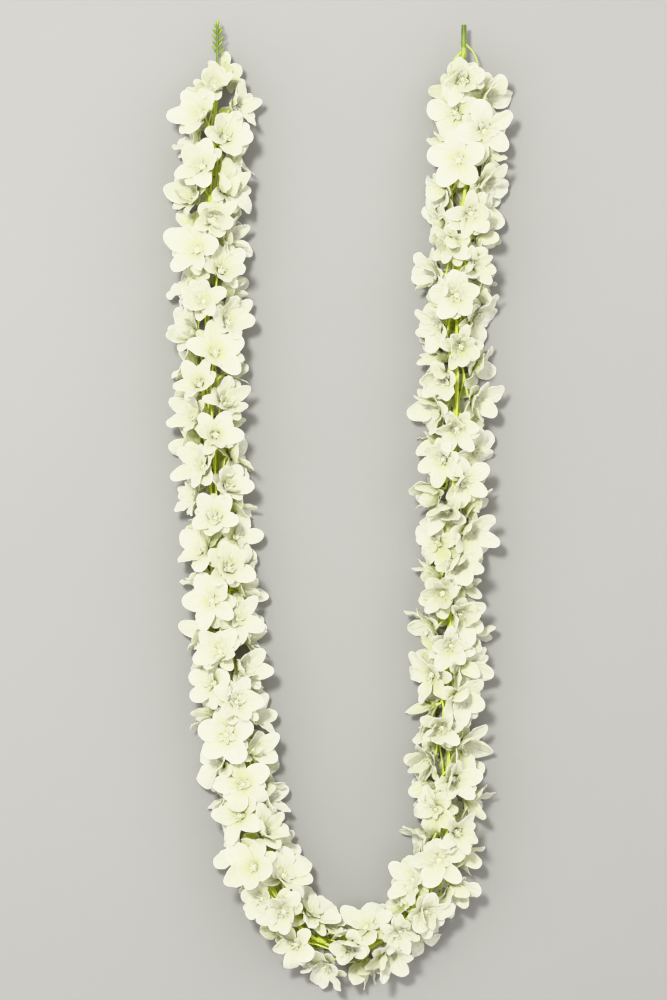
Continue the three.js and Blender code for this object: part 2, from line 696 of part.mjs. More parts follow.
const garland = new THREE.Group();
garland.add(namedMesh("stem", stemSolid(), plasticMaterial(GREEN, 0.5)));
collarFrames.forEach((frame, whorl) => {
  const blooms = placed.filter((bloom) => bloom.whorl === whorl);
  const spray = blooms.reduce((solid, bloom) => solid.add(bloomSolid(bloom)), collarSolid(frame));
  const name = "spray_" + String(whorl + 1).padStart(2, "0");
  garland.add(namedMesh(name, spray, plasticMaterial(WHITE, 0.85)));
});

export default garland;
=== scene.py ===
"""A garland of white silk blooms on one long green stem, laid in a U on a pale table."""
import functools
import math
import re

import bpy
import numpy as np
from bpy.props import FloatProperty, FloatVectorProperty, IntProperty, PointerProperty
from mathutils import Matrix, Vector
from mathutils.kdtree import KDTree


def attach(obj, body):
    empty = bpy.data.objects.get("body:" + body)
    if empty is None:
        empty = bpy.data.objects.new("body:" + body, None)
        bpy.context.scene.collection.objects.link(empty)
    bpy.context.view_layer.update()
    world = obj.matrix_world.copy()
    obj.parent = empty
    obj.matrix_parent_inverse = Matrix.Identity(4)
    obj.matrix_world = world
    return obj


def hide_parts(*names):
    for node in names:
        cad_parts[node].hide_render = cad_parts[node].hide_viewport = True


bl_info = {
    "name": "Silk Flower Garland",
    "version": (1, 0, 0),
    "blender": (4, 5, 0),
    "location": "3D View > Sidebar > Garland",
    "description": "Builds a garland of white silk blooms on a moulded green stem",
    "category": "Add Mesh",
}

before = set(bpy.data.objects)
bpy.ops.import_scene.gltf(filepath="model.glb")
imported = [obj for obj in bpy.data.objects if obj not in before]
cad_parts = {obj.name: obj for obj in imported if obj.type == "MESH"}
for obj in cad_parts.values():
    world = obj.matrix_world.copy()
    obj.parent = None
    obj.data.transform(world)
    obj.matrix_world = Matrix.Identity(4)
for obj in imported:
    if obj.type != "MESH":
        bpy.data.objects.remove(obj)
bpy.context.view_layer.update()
MM = 0.001

# The stem's route from its cut root end to its tip, in millimetres.
STEM_ROUTE = [
    (115, 442, 20), (115, 395, 20), (120, 342, 20), (114, 268, 21), (109, 188, 20), (108, 96, 20),
    (105, 4, 21), (103, -88, 20), (99, -180, 20), (101, -262, 21), (96, -318, 20), (74, -368, 20),
    (42, -400, 21), (10, -409, 20), (-22, -400, 20), (-50, -371, 21), (-71, -329, 20),
    (-85, -272, 20), (-97, -198, 21), (-106, -115, 20), (-111, -23, 20), (-116, 60, 21),
    (-120, 152, 20), (-121, 234, 20), (-117, 308, 21), (-113, 372, 20), (-112, 442, 21),
]
STEM_ROOT_RADIUS = 2
STEM_TIP_RADIUS = 1.3
ROUTE_STEPS = 2000

# The whorls of blooms, in millimetres and degrees, as the solids have them.
WHORLS = 36
BLOOMS_PER_WHORL = 5
BLOOM_PITCH = 9.45
FIRST_BLOOM_AT = 52
GOLDEN_ANGLE = 137.508
TURN_SPREAD = 14
COLLAR_LEAD = 26
COLLAR_LENGTH = 5
COLLAR_CLEARANCE = 0.3
COLLAR_WALL = 1.5
STALK_SINK = 1.2
STEM_STEP = BLOOM_PITCH * BLOOMS_PER_WHORL / 2
REACH = (12.5, 18.5)
REACH_UNDER = 0.74
LEAN = (8, 32)
SWAY = 20
LOOK_UP = 1.2
PETALS = 5
PETAL_RING = 3.4
PETAL_LENGTH = 26.5
PETAL_HALF_WIDTH = 9.6
PETAL_THICKNESS = 1.2
PETAL_CUP = 1.6
BLOOM_SIZE = (0.93, 1.1)
OPEN_RISE = (26, 38)
OPEN_SPREAD = (-12, 8)
CUPPED_SHARE = 0.16
CUPPED_RISE = (52, 62)
CUPPED_SPREAD = (28, 44)
PETAL_DROOP_SPREAD = 7
PETAL_TWIST = 10
PETAL_LENGTH_SPREAD = 0.06
WIDEST_AT = 0.58
WIDEST_FACTOR = 1.04
TIP_AT = 0.95
TIP_FACTOR = 0.58
CENTRE_HEIGHT = 3.6
CALYX_DEPTH = 7
YOUNG_FROM = 90
YOUNG_UNTIL = 40
YOUNG_SIZE = 0.82
YOUNG_REACH = 0.6
YOUNG_FOLD = 12
SEED = 6
BENDS = (0, 12, -12, 24, -24, 36, -36, 50)
BEND_AT_ROOT = 0.45
POSES = 90
SHRINK_PER_ROUND = 0.9
ROUNDS = 5
SISTER_ROOM = 0.86
FOUND_WITHIN = 0.05

TIP_PEG_PAIRS = 5
TIP_PEG_SPACING = 5.6
TIP_PEG_LENGTH = 9.5
TIP_PEG_RADIUS = 1.4
TIP_PEG_LEAN = 42
TIP_PEG_TURN = 35
TIP_PEG_STAGGER = 0.2
TIP_BUD_LENGTH = 7
TIP_BUD_RADIUS = 2.3


def linear(hex_colour):
    """Turns an sRGB hex colour into linear red, green, blue and an alpha of one."""
    shares = [int(hex_colour[i : i + 2], 16) / 255 for i in (1, 3, 5)]
    light = [s / 12.92 if s <= 0.04045 else ((s + 0.055) / 1.055) ** 2.4 for s in shares]
    return (*light, 1.0)


def shade_of(hex_colour, name, description):
    return FloatVectorProperty(
        name=name,
        description=description,
        default=linear(hex_colour),
        size=4,
        min=0,
        max=1,
        subtype="COLOR",
    )


def length_of(millimetres, name, description):
    return FloatProperty(
        name=name,
        description=description,
        default=millimetres * MM,
        min=0,
        precision=5,
        subtype="DISTANCE",
        unit="LENGTH",
    )


class GarlandSizes(bpy.types.PropertyGroup):
    cloth: length_of(0.35, "Petal Cloth", "Thickness of the stiffened petal cloth")
    wave: length_of(0.8, "Petal Wave", "Height of the waves along a petal's edge")
    keel: length_of(0.7, "Petal Crease", "Depth of the crease pressed along a petal's middle")
    inner_length: length_of(11, "Inner Petal", "Length of the small inner petals")
    eye_radius: length_of(0.95, "Eye", "Radius of the moulded eye in a bloom's throat")
    calyx_lobe: length_of(8.5, "Calyx Lobe", "Length of a green lobe behind the petals")
    stalk_radius: length_of(0.75, "Stalk", "Radius of a bloom's stalk")
    petal_rows: IntProperty(
        name="Petal Rows", description="Rows of points along a petal", default=8, min=5, max=24
    )
    petal_columns: IntProperty(
        name="Petal Columns", description="Columns of points across a petal", default=7, min=3, max=15
    )


class GarlandColours(bpy.types.PropertyGroup):
    petal: shade_of("#f6f6f0", "Petal", "Ivory white of the petal cloth")
    # The rim's white is a painted highlight along each petal's edge
    petal_rim_highlight: shade_of("#ffffff", "Petal Rim", "White of a petal's heat-cut rim")
    # This yellow-green is also painted on petals deep in the strand, as their shade
    petal_root: shade_of("#d0d75c", "Petal Root", "Yellow-green airbrushed at a petal's root")
    petal_back: shade_of("#f3f3e7", "Petal Back", "Paler, greener white of a petal's back")
    # This olive is painted shade in the grooves of the petals' folds and veins
    petal_crease_shade: shade_of("#a9ab70", "Petal Crease", "Olive that the dye leaves in pressed creases")
    eye: shade_of("#e6e7b4", "Eye", "Yellow-green of the moulded eye")
    stem: shade_of("#5c7220", "Stem", "Green of the moulded stem and stalks")
    stem_shade: shade_of("#41560f", "Stem Shade", "Darker green in the stem's hollows")
    # This pale green is painted light on the stalks, the collars and the rod inside the strand, where
    # they lie in shade; on the tip's buds it is their own paler ends
    stem_pale_and_painted_light: shade_of("#d3df68", "Stem Pale", "Pale green of the thin stalks and moulded ends")
    throat: shade_of("#f0f1ac", "Throat", "Cream of a bloom's throat")
    table: shade_of("#8c8c88", "Table", "Pale grey of the table")


# Seeded draws, the stem's route and the blooms' poses, as the solids were made

WORD = 0xFFFFFFFF


def draws_for(bloom, pose):
    """One stream of seeded numbers from 0 to 1 for each bloom and pose."""
    state = (SEED + (bloom + 1) * 0x9E3779B1 + (pose + 1) * 0x85EBCA6B) & WORD

    def draw():
        nonlocal state
        state = (state + 0x6D2B79F5) & WORD
        mixed = ((state ^ (state >> 15)) * (state | 1)) & WORD
        mixed ^= (mixed + (mixed ^ (mixed >> 7)) * (mixed | 61)) & WORD
        return (mixed ^ (mixed >> 14)) / 4294967296

    return draw


def between(span, share):
    return span[0] + (span[1] - span[0]) * share


def unit(vector):
    return vector / np.linalg.norm(vector)


def route_point(share):
    """A point of the smooth curve through the route's points, at a share of its steps."""
    points = np.array(STEM_ROUTE, float)
    last = len(points) - 1
    place = share * last
    first = min(int(place), last - 1)
    t = place - first
    p1, p2 = points[first], points[first + 1]
    p0 = points[first - 1] if first > 0 else 2 * points[0] - points[1]
    p3 = points[first + 2] if first + 2 <= last else 2 * points[last] - points[last - 1]
    t0, t1 = (p2 - p0) / 2, (p3 - p1) / 2
    square = 3 * (p2 - p1) - 2 * t0 - t1
    cube = 2 * (p1 - p2) + t0 + t1
    return p1 + t * (t0 + t * (square + t * cube))


@functools.cache
def route_lengths():
    points = np.array([route_point(i / ROUTE_STEPS) for i in range(ROUTE_STEPS + 1)])
    steps = np.linalg.norm(np.diff(points, axis=0), axis=1)
    return np.concatenate([[0], np.cumsum(steps)])


def stem_length():
    return route_lengths()[-1]


@functools.lru_cache(maxsize=None)
def stem_frame(distance):
    """Origin, direction, up and side of the stem at a distance from its root end."""
    lengths = route_lengths()
    share = np.interp(min(max(distance, 0), lengths[-1]), lengths, np.linspace(0, 1, len(lengths)))
    before, after = max(share - 1e-4, 0), min(share + 1e-4, 1)
    along = unit(route_point(after) - route_point(before))
    up = unit(np.array([0, 0, 1]) - along * along[2])
    return route_point(share), along, up, np.cross(along, up)


def stem_radius(distance):
    return STEM_ROOT_RADIUS + (STEM_TIP_RADIUS - STEM_ROOT_RADIUS) * distance / stem_length()


def bloom_pose(bloom, pose):
    """Where a bloom stands and how its petals are shaped, for one draw of its pose."""
    draw = draws_for(bloom, pose)

    def spread():
        return 2 * draw() - 1

    at = FIRST_BLOOM_AT + bloom * BLOOM_PITCH
    origin, along, up, side = stem_frame(at)
    ripe = (at - stem_length() + YOUNG_FROM) / (YOUNG_FROM - YOUNG_UNTIL)
    ripe = min(max(ripe, 0), 1)
    youth = ripe * ripe * (3 - 2 * ripe)
    turns = pose // POSES
    turn = math.radians(bloom * GOLDEN_ANGLE + TURN_SPREAD * (1 + turns) * spread())
    outward = up * math.cos(turn) + side * math.sin(turn)
    under = max(0, -outward[2])
    reach = between(REACH, draw()) * (1 - (1 - REACH_UNDER) * under)
    reach *= 1 - (1 - YOUNG_REACH) * youth
    lean = math.radians(between(LEAN, draw()))
    sway = math.radians(SWAY * spread())
    normal = outward + along * math.tan(lean) + np.cross(along, outward) * math.tan(sway)
    normal[2] += LOOK_UP * (1 + outward[2]) / 2
    normal = unit(normal)
    roll = math.radians(360 / PETALS * draw())
    size = between(BLOOM_SIZE, draw()) * (1 - (1 - YOUNG_SIZE) * youth) * SHRINK_PER_ROUND**turns
    cupped = draw() < CUPPED_SHARE
    opening = draw()
    rise = between(CUPPED_RISE if cupped else OPEN_RISE, opening) + YOUNG_FOLD * youth
    flat = between(CUPPED_SPREAD if cupped else OPEN_SPREAD, opening) + YOUNG_FOLD * youth
    first = unit(along - normal * along.dot(normal))
    second = np.cross(normal, first)
    petals = []
    for i in range(PETALS):
        petals.append({
            "angle": roll + 2 * math.pi * i / PETALS,
            "flat": flat + PETAL_DROOP_SPREAD * spread(),
            "twist": math.radians(PETAL_TWIST * spread()),
            "length": PETAL_LENGTH * size * (1 + PETAL_LENGTH_SPREAD * spread()),
        })
    throat = origin + outward * reach
    return {
        "throat": throat, "normal": normal, "first": first, "second": second, "rise": rise,
        "outward": outward, "size": size, "petals": petals, "youth": youth, "origin": origin,
        "along": along,
    }


def petal_way(pose, petal, bend, share):
    """Distance out, height and slope of a petal's midline at a share of its length."""
    rise = math.radians(pose["rise"] + BEND_AT_ROOT * bend)
    flat = math.radians(petal["flat"] + bend)
    slope = rise + (flat - rise) * share
    radius = petal["length"] / (flat - rise)
    out = PETAL_RING * pose["size"] + radius * (math.sin(slope) - math.sin(rise))
    return out, radius * (math.cos(rise) - math.cos(slope)), slope


def petal_half_width(pose, petal, bend):
    out = petal_way(pose, petal, bend, WIDEST_AT)[0]
    room = SISTER_ROOM * out * math.tan(math.pi / PETALS)
    return min(PETAL_HALF_WIDTH * pose["size"], room)


def way_out(pose, angle):
    """The direction from a bloom's middle at an angle round it."""
    return pose["first"] * math.cos(angle) + pose["second"] * math.sin(angle)


def petal_point(pose, petal, bend, share, sideways):
    out, height, slope = petal_way(pose, petal, bend, share)
    outward = way_out(pose, petal["angle"])
    across = np.cross(pose["normal"], outward)
    above = pose["normal"] * math.cos(slope) - outward * math.sin(slope)
    twist = petal["twist"] * share
    lift = PETAL_CUP * (sideways / PETAL_HALF_WIDTH) ** 2 + sideways * math.sin(twist)
    way = outward * out + pose["normal"] * height + across * sideways * math.cos(twist)
    return pose["throat"] + way + above * lift


def petal_marks(pose, petal, bend):
    """The shoulders and tip corners of a petal's solid, pressed to the table as there."""
    half = petal_half_width(pose, petal, bend)
    marks = []
    for share, factor, lowest in ((WIDEST_AT, WIDEST_FACTOR, PETAL_THICKNESS), (TIP_AT, TIP_FACTOR, 0)):
        for hand in (-1, 1):
            point = petal_point(pose, petal, bend, share, hand * half * factor)
            point[2] = max(point[2], lowest)
            marks.append(point)
    return marks


@functools.cache
def collar_frame(whorl):
    """The collar's centre, direction and hole radius on its straight stretch of stem."""
    at = FIRST_BLOOM_AT + whorl * BLOOM_PITCH * BLOOMS_PER_WHORL - COLLAR_LEAD
    before, after = stem_frame(at - STEM_STEP / 2)[0], stem_frame(at + STEM_STEP / 2)[0]
    along = unit(after - before)
    return (before + after) / 2, along, stem_radius(at - STEM_STEP / 2) + COLLAR_CLEARANCE


def spray_name(whorl):
    return f"spray_{whorl + 1:02d}"


@functools.cache
def placed_blooms():
    """Each bloom's pose and bends, found by their corners among those of its spray's solid."""
    blooms = []
    for whorl in range(WHORLS):
        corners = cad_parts[spray_name(whorl)].data.vertices
        tree = KDTree(len(corners))
        for i, corner in enumerate(corners):
            tree.insert(corner.co / MM, i)
        tree.balance()
        for bloom in range(whorl * BLOOMS_PER_WHORL, (whorl + 1) * BLOOMS_PER_WHORL):
            for attempt in range(POSES * ROUNDS):
                pose = bloom_pose(bloom, attempt)
                centre = pose["throat"] + pose["normal"] * CENTRE_HEIGHT * pose["size"]
                if tree.find(Vector(centre))[2] < FOUND_WITHIN:
                    break
            else:
                raise RuntimeError(f"bloom {bloom} isn't found on {spray_name(whorl)}")
            for petal in pose["petals"]:
                misses = []
                for bend in BENDS:
                    marks = petal_marks(pose, petal, bend)
                    misses.append((sum(tree.find(Vector(mark))[2] for mark in marks), bend))
                petal["bend"] = min(misses)[1]
            pose["bloom"], pose["whorl"] = bloom, whorl
            pose["draws"] = np.random.default_rng(SEED * 1000 + bloom)
            blooms.append(pose)
    return blooms


# Building blocks for trees of nodes

def add_node(tree, kind, inputs=None, **settings):
    """Adds one node with its settings, and fills its sockets with values or links."""
    node = tree.nodes.new(kind)
    node.location = (190 * (len(tree.nodes) % 12), -210 * (len(tree.nodes) // 12))
    for name, value in settings.items():
        setattr(node, name, value)
    for key, value in (inputs or {}).items():
        if isinstance(key, int):
            socket = node.inputs[key]
        else:
            socket = next(s for s in node.inputs if s.name == key and s.enabled)
        if isinstance(value, bpy.types.Node):
            value = next(s for s in value.outputs if s.enabled)
        if isinstance(value, bpy.types.NodeSocket):
            tree.links.new(value, socket)
        else:
            socket.default_value = value
    return node


# What a formula's signs and words stand for among the nodes, vectors last
SIGNS = {
    "+": "ADD", "-": "SUBTRACT", "*": "MULTIPLY", "/": "DIVIDE", "^": "POWER", "* +": "MULTIPLY_ADD",
    "max": "MAXIMUM", "min": "MINIMUM", "sin": "SINE", "cos": "COSINE", "abs": "ABSOLUTE",
    "and": "V_ADD", "without": "V_SUBTRACT", "cross": "V_CROSS_PRODUCT", "scaled": "V_SCALE",
    "length": "V_LENGTH",
}
BETWEEN = re.compile(r" ([-+*/^]|max|min|and|without|cross|scaled) ")


def work_out(tree, formulas, known):
    """Adds a node for each line of the formulas, which names what it works out."""
    for line in formulas.strip().splitlines():
        name, formula = line.strip().split(" = ")
        parts = BETWEEN.split(formula)
        terms, signs = parts[::2], parts[1::2]
        if not signs:
            sign, _, term = formula.partition(" ")
            signs, terms = [sign], [term]
        operation = SIGNS[" ".join(signs)]
        inputs = {i: known[term] if term in known else float(term) for i, term in enumerate(terms)}
        if operation == "V_SCALE":
            inputs = {0: inputs[0], 3: inputs[1]}
        kind = "ShaderNodeVectorMath" if operation.startswith("V_") else "ShaderNodeMath"
        node = add_node(tree, kind, inputs, operation=operation.removeprefix("V_"), label=name)
        known[name] = next(s for s in node.outputs if s.enabled)
    return known


def new_tree(name, sockets):
    """A geometry tree with a geometry input and output and the named inputs."""
    tree = bpy.data.node_groups.new(name, "GeometryNodeTree")
    tree.is_modifier = True
    tree.interface.new_socket("Geometry", in_out="INPUT", socket_type="NodeSocketGeometry")
    tree.interface.new_socket("Geometry", in_out="OUTPUT", socket_type="NodeSocketGeometry")
    for label, kind, default in sockets:
        socket = tree.interface.new_socket(label, in_out="INPUT", socket_type="NodeSocket" + kind)
        if default is not None:
            socket.default_value = default
    return tree, tree.nodes.new("NodeGroupInput")


def close_tree(tree, geometry, material):
    smooth = add_node(tree, "GeometryNodeSetShadeSmooth", {"Geometry": geometry})
    painted = add_node(tree, "GeometryNodeSetMaterial", {"Geometry": smooth, "Material": material})
    add_node(tree, "NodeGroupOutput", {"Geometry": painted})
    return tree


# How far from the stem the petals get painted shade, in millimetres: a yellow-green that grows
# toward the stem, where the strand lies in shade
PAINTED_SHADE_WITHIN = 27

# A petal's width along its length, as shares of its widest place, with a round and a pointed end
PETAL_WIDTHS = {
    "round width": [
        (0, 0.2), (0.1, 0.25), (0.2, 0.38), (0.32, 0.6), (0.44, 0.82), (0.56, 0.965),
        (0.68, 1.0), (0.78, 0.975), (0.88, 0.905), (1, 0.77),
    ],
    "pointed width": [(0, 0.7), (0.3, 1.0), (0.6, 0.75), (0.85, 0.35), (1, 0.08)],
}

# How a petal's point follows from its share of the length and of the width, and how deep it lies
# in the strand, which sets its painted shade
PETAL_STEPS = """
width squared = across * across
roundness = width squared * 0.24 + 0.76
arc = width squared * roundness
width share = abs across
round end = along ^ 1.6
bulge = pointed * -0.16 + 0.16
bulge here = bulge * round end
set back = bulge here * arc
way = along * 1.1 + -0.1
u = way - set back
pointed part = pointed width * pointed
round share = 1 - pointed
w = round width * round share + pointed part
v = across * w
straight = v * half
u squared = u * u
sideways = u squared * veer + straight
swing = flat - rise
slope = swing * u + rise
radius = length / swing
slope sine = sin slope
rise sine = sin rise
slope cosine = cos slope
rise cosine = cos rise
sine gain = slope sine - rise sine
out = radius * sine gain + ring
cosine gain = rise cosine - slope cosine
height = radius * cosine gain
turn = twist * u
turn sine = sin turn
turn cosine = cos turn
beside = sideways * turn cosine
v squared = v * v
cupped = v squared * cup
rolled = sideways * turn sine + cupped
wave length = u * 13 + phase
wave way = across * 2.3 + wave length
wave = sin wave way
edge only = width share ^ 1.8
edge wave = wave * edge only
wave here = edge wave * crimp
waved = wave here * w + rolled
from middle = 1 - width share
crease = from middle ^ 2.5
crease here = crease * keel
crease depth = crease here * w
creased = waved - crease depth
end only = along ^ 4
lift = end only * curl + creased
across way = upward cross outward
up part = upward scaled slope cosine
out part = outward scaled slope sine
above = up part without out part
outwards = outward scaled out
upwards = upward scaled height
sidewards = across way scaled beside
lifted = above scaled lift
sum a = outwards and upwards
sum b = sidewards and lifted
sum c = sum a and sum b
place = throat and sum c
from stem = place without stem point
beside stem = from stem cross stem way
distance = length beside stem
outer share = distance / tint reach
inner share = 1 - outer share
deep = inner share max 0
"""


def petal_tree():
    """Grows one petal on each point, shaped by that point's attributes."""
    tree, given = new_tree("Silk Petals", [
        ("Rows", "Int", 10),
        ("Columns", "Int", 7),
        ("Press", "Float", 2 * MM),
        ("Material", "Material", None),
    ])
    grid = add_node(tree, "GeometryNodeMeshGrid", {
        "Size X": 1.0, "Size Y": 2.0,
        "Vertices X": given.outputs["Rows"], "Vertices Y": given.outputs["Columns"],
    })
    spot = add_node(tree, "ShaderNodeSeparateXYZ", {0: add_node(tree, "GeometryNodeInputPosition")})
    share = add_node(tree, "ShaderNodeMath", {0: spot.outputs["X"], 1: 0.5})
    sheet = grid.outputs["Mesh"]
    for name, value, kind, domain in (
        ("along", share, "FLOAT", "POINT"),
        ("across", spot.outputs["Y"], "FLOAT", "POINT"),
        ("UVMap", grid.outputs["UV Map"], "FLOAT2", "CORNER"),
    ):
        sheet = add_node(tree, "GeometryNodeStoreNamedAttribute", {
            "Geometry": sheet, "Name": name, "Value": value,
        }, data_type=kind, domain=domain)
    sown = add_node(tree, "GeometryNodeInstanceOnPoints", {
        "Points": given.outputs["Geometry"], "Instance": sheet,
    })
    real = add_node(tree, "GeometryNodeRealizeInstances", {"Geometry": sown})
    known = {}
    for name in PETAL_NUMBERS + ("along", "across") + PETAL_VECTORS:
        kind = "FLOAT_VECTOR" if name in PETAL_VECTORS else "FLOAT"
        node = add_node(tree, "GeometryNodeInputNamedAttribute", {"Name": name}, data_type=kind)
        known[name] = next(s for s in node.outputs if s.enabled)
    for name, points in PETAL_WIDTHS.items():
        node = add_node(tree, "ShaderNodeFloatCurve", {"Value": known["along"]})
        curve = node.mapping.curves[0]
        curve.points[0].location = points[0]
        curve.points[1].location = points[-1]
        for x, y in points[1:-1]:
            curve.points.new(x, y)
        node.mapping.update()
        known[name] = node.outputs[0]
    work_out(tree, PETAL_STEPS, known)
    parts = add_node(tree, "ShaderNodeSeparateXYZ", {0: known["place"]})
    pressed = add_node(
        tree, "ShaderNodeMath",
        {0: parts.outputs["Z"], 1: known["floor"], 2: given.outputs["Press"]},
        operation="SMOOTH_MAX",
    )
    place = add_node(tree, "ShaderNodeCombineXYZ", {
        "X": parts.outputs["X"], "Y": parts.outputs["Y"], "Z": pressed,
    })
    # Each point keeps how deep it lies within the strand, which the silk paints as green shade
    marked = add_node(tree, "GeometryNodeStoreNamedAttribute", {
        "Geometry": real, "Name": "deep", "Value": known["deep"],
    })
    shaped = add_node(tree, "GeometryNodeSetPosition", {"Geometry": marked, "Position": place})
    return close_tree(tree, shaped, given.outputs["Material"])


def tube_tree():
    """Sweeps a round section along each line of points, as thick as its points say."""
    tree, given = new_tree("Moulded Stalks", [("Sides", "Int", 6), ("Material", "Material", None)])
    radius = add_node(tree, "GeometryNodeInputNamedAttribute", {"Name": "radius"})
    line = add_node(tree, "GeometryNodeMeshToCurve", {"Mesh": given.outputs["Geometry"]})
    section = add_node(tree, "GeometryNodeCurvePrimitiveCircle", {
        "Resolution": given.outputs["Sides"], "Radius": 1.0,
    })
    swept = add_node(tree, "GeometryNodeCurveToMesh", {
        "Curve": line, "Profile Curve": section, "Scale": radius, "Fill Caps": True,
    })
    real = add_node(tree, "GeometryNodeRealizeInstances", {"Geometry": swept})
    return close_tree(tree, real, given.outputs["Material"])


def bud_tree():
    """Sets a bud on each point, turned and sized by that point's attributes."""
    tree, given = new_tree("Moulded Buds", [
        ("Segments", "Int", 8),
        ("Rings", "Int", 6),
        ("Taper", "Float", 0.0),
        ("Material", "Material", None),
    ])
    ball = add_node(tree, "GeometryNodeMeshUVSphere", {
        "Segments": given.outputs["Segments"], "Rings": given.outputs["Rings"], "Radius": 1.0,
    })
    spot = add_node(tree, "ShaderNodeSeparateXYZ", {0: add_node(tree, "GeometryNodeInputPosition")})
    known = {axis.lower(): spot.outputs[axis] for axis in "XYZ"}
    known["taper"] = given.outputs["Taper"]
    work_out(tree, """
        narrowing = z * taper
        girth = 1 - narrowing
        x now = x * girth
        y now = y * girth
        rise = z * 0.5 + 0.5
    """, known)
    place = add_node(tree, "ShaderNodeCombineXYZ", {
        "X": known["x now"], "Y": known["y now"], "Z": known["z"],
    })
    marked = add_node(tree, "GeometryNodeStoreNamedAttribute", {
        "Geometry": ball.outputs["Mesh"], "Name": "rise", "Value": known["rise"],
    })
    bud = add_node(tree, "GeometryNodeSetPosition", {"Geometry": marked, "Position": place})
    read = {}
    for name in ("axis", "girth", "end_pale", "rise"):
        kind = "FLOAT_VECTOR" if name in ("axis", "girth") else "FLOAT"
        read[name] = add_node(tree, "GeometryNodeInputNamedAttribute", {"Name": name}, data_type=kind)
    turned = add_node(tree, "FunctionNodeAlignRotationToVector", {"Vector": read["axis"]}, axis="Z")
    sown = add_node(tree, "GeometryNodeInstanceOnPoints", {
        "Points": given.outputs["Geometry"], "Instance": bud, "Rotation": turned,
        "Scale": read["girth"],
    })
    real = add_node(tree, "GeometryNodeRealizeInstances", {"Geometry": sown})
    work_out(tree, "paleness = rise * end_pale", read)
    tinted = add_node(tree, "GeometryNodeStoreNamedAttribute", {
        "Geometry": real, "Name": "pale", "Value": read["paleness"],
    })
    return close_tree(tree, tinted, given.outputs["Material"])


PETAL_NUMBERS = (
    "ring", "length", "half", "rise", "flat", "twist", "cup", "crimp", "phase", "keel", "curl",
    "floor", "pointed", "shade", "veer", "tint reach",
)
PETAL_VECTORS = ("throat", "outward", "upward", "stem point", "stem way")
BUD_VALUES = ("axis", "girth", "end_pale", "radius", "along", "across")


def points_mesh(name, rows, edges=()):
    """A mesh of points whose attributes are the rows' values. The first value is the place."""
    mesh = bpy.data.meshes.new(name)
    mesh.from_pydata([Vector(row["place"]) for row in rows], edges, [])
    for key in [key for key in rows[0] if key != "place"]:
        values = np.array([row[key] for row in rows], float)
        kind = "FLOAT" if values.ndim == 1 else "FLOAT_VECTOR"
        layer = mesh.attributes.new(key, kind, "POINT")
        layer.data.foreach_set("value" if kind == "FLOAT" else "vector", values.ravel())
    return mesh


def grown_mesh(name, mesh, kind, inputs, materials, thickness=0.0):
    """Runs a kind of tree on a mesh of points and returns the result as a plain mesh."""
    tree = trees()[kind]
    values = inputs | {"Material": materials[0]}
    raw = new_object(name, mesh)
    grow = raw.modifiers.new("Grow", "NODES")
    grow.node_group = tree
    for item in tree.interface.items_tree:
        if item.item_type == "SOCKET" and item.in_out == "INPUT" and item.name in values:
            grow[item.identifier] = values[item.name]
    result = plain_mesh(raw, name)
    result.materials.clear()
    for material in materials:
        result.materials.append(material)
    return thickened(name, result, thickness) if thickness else result


def new_object(name, data):
    thing = bpy.data.objects.new(name, data)
    bpy.context.scene.collection.objects.link(thing)
    return thing


def plain_mesh(raw, name):
    """The mesh that an object's modifiers make. The object itself is removed."""
    graph = bpy.context.evaluated_depsgraph_get()
    mesh = bpy.data.meshes.new_from_object(raw.evaluated_get(graph), depsgraph=graph)
    mesh.name = name
    bpy.data.objects.remove(raw)
    return mesh


# Edges that turn more than this look sharp
SHARP_FROM = math.radians(50)


def thickened(name, mesh, thickness):
    """Gives a sheet its cloth thickness. The new back faces take the next material."""
    raw = new_object(name, mesh)
    wall = raw.modifiers.new("Cloth", "SOLIDIFY")
    wall.thickness = thickness
    wall.offset = 0
    wall.material_offset = 1
    result = plain_mesh(raw, name)
    result.set_sharp_from_angle(angle=SHARP_FROM)
    return result


def joined(name, meshes):
    """One object of several meshes, each keeping its materials, riding on the root body."""
    parts = [new_object(f"{name}_{i}", mesh) for i, mesh in enumerate(meshes)]
    if len(parts) > 1:
        with bpy.context.temp_override(
            active_object=parts[0], object=parts[0], selected_objects=parts,
            selected_editable_objects=parts,
        ):
            bpy.ops.object.join()
    piece = parts[0]
    piece.name = name
    piece.data.name = name
    spent = set(PETAL_NUMBERS + PETAL_VECTORS + BUD_VALUES) - {"shade", "phase"}
    for layer in [a.name for a in piece.data.attributes if a.name in spent]:
        piece.data.attributes.remove(piece.data.attributes[layer])
    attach(piece, "root")
    return piece


# Finishes

# Real sizes of the patterns, in millimetres. The cloth's threads lie 0.12 mm apart and the mould's
# grain is 0.05 mm, which is too fine to show, so both are drawn as coarse as they need to show.
THREAD_SPACING = 0.8
VEIN_SPACING = 3.0
FOLD_LENGTH = 11.0
FOLD_WIDTH = 2.7
AIRBRUSH_BLOTCH = 6.2
PLASTIC_CLOUD = 11.0
STEM_GRAIN = 0.67
EYE_GRAIN = 0.4
ROLLER_MOTTLE = 330.0

PETAL_WIDTH = 2 * PETAL_HALF_WIDTH

# How far a pattern's wave turns along or across a petal, in radians
THREADS_ALONG = 2 * math.pi * PETAL_LENGTH / THREAD_SPACING
THREADS_ACROSS = 2 * math.pi * PETAL_WIDTH / THREAD_SPACING
VEINS_ACROSS = 2 * math.pi * PETAL_WIDTH / VEIN_SPACING


def per_metre(millimetres):
    return 1 / (millimetres * MM)


def new_material(name):
    material = bpy.data.materials.new(name)
    material.use_nodes = True
    material.node_tree.nodes.clear()
    return material, material.node_tree


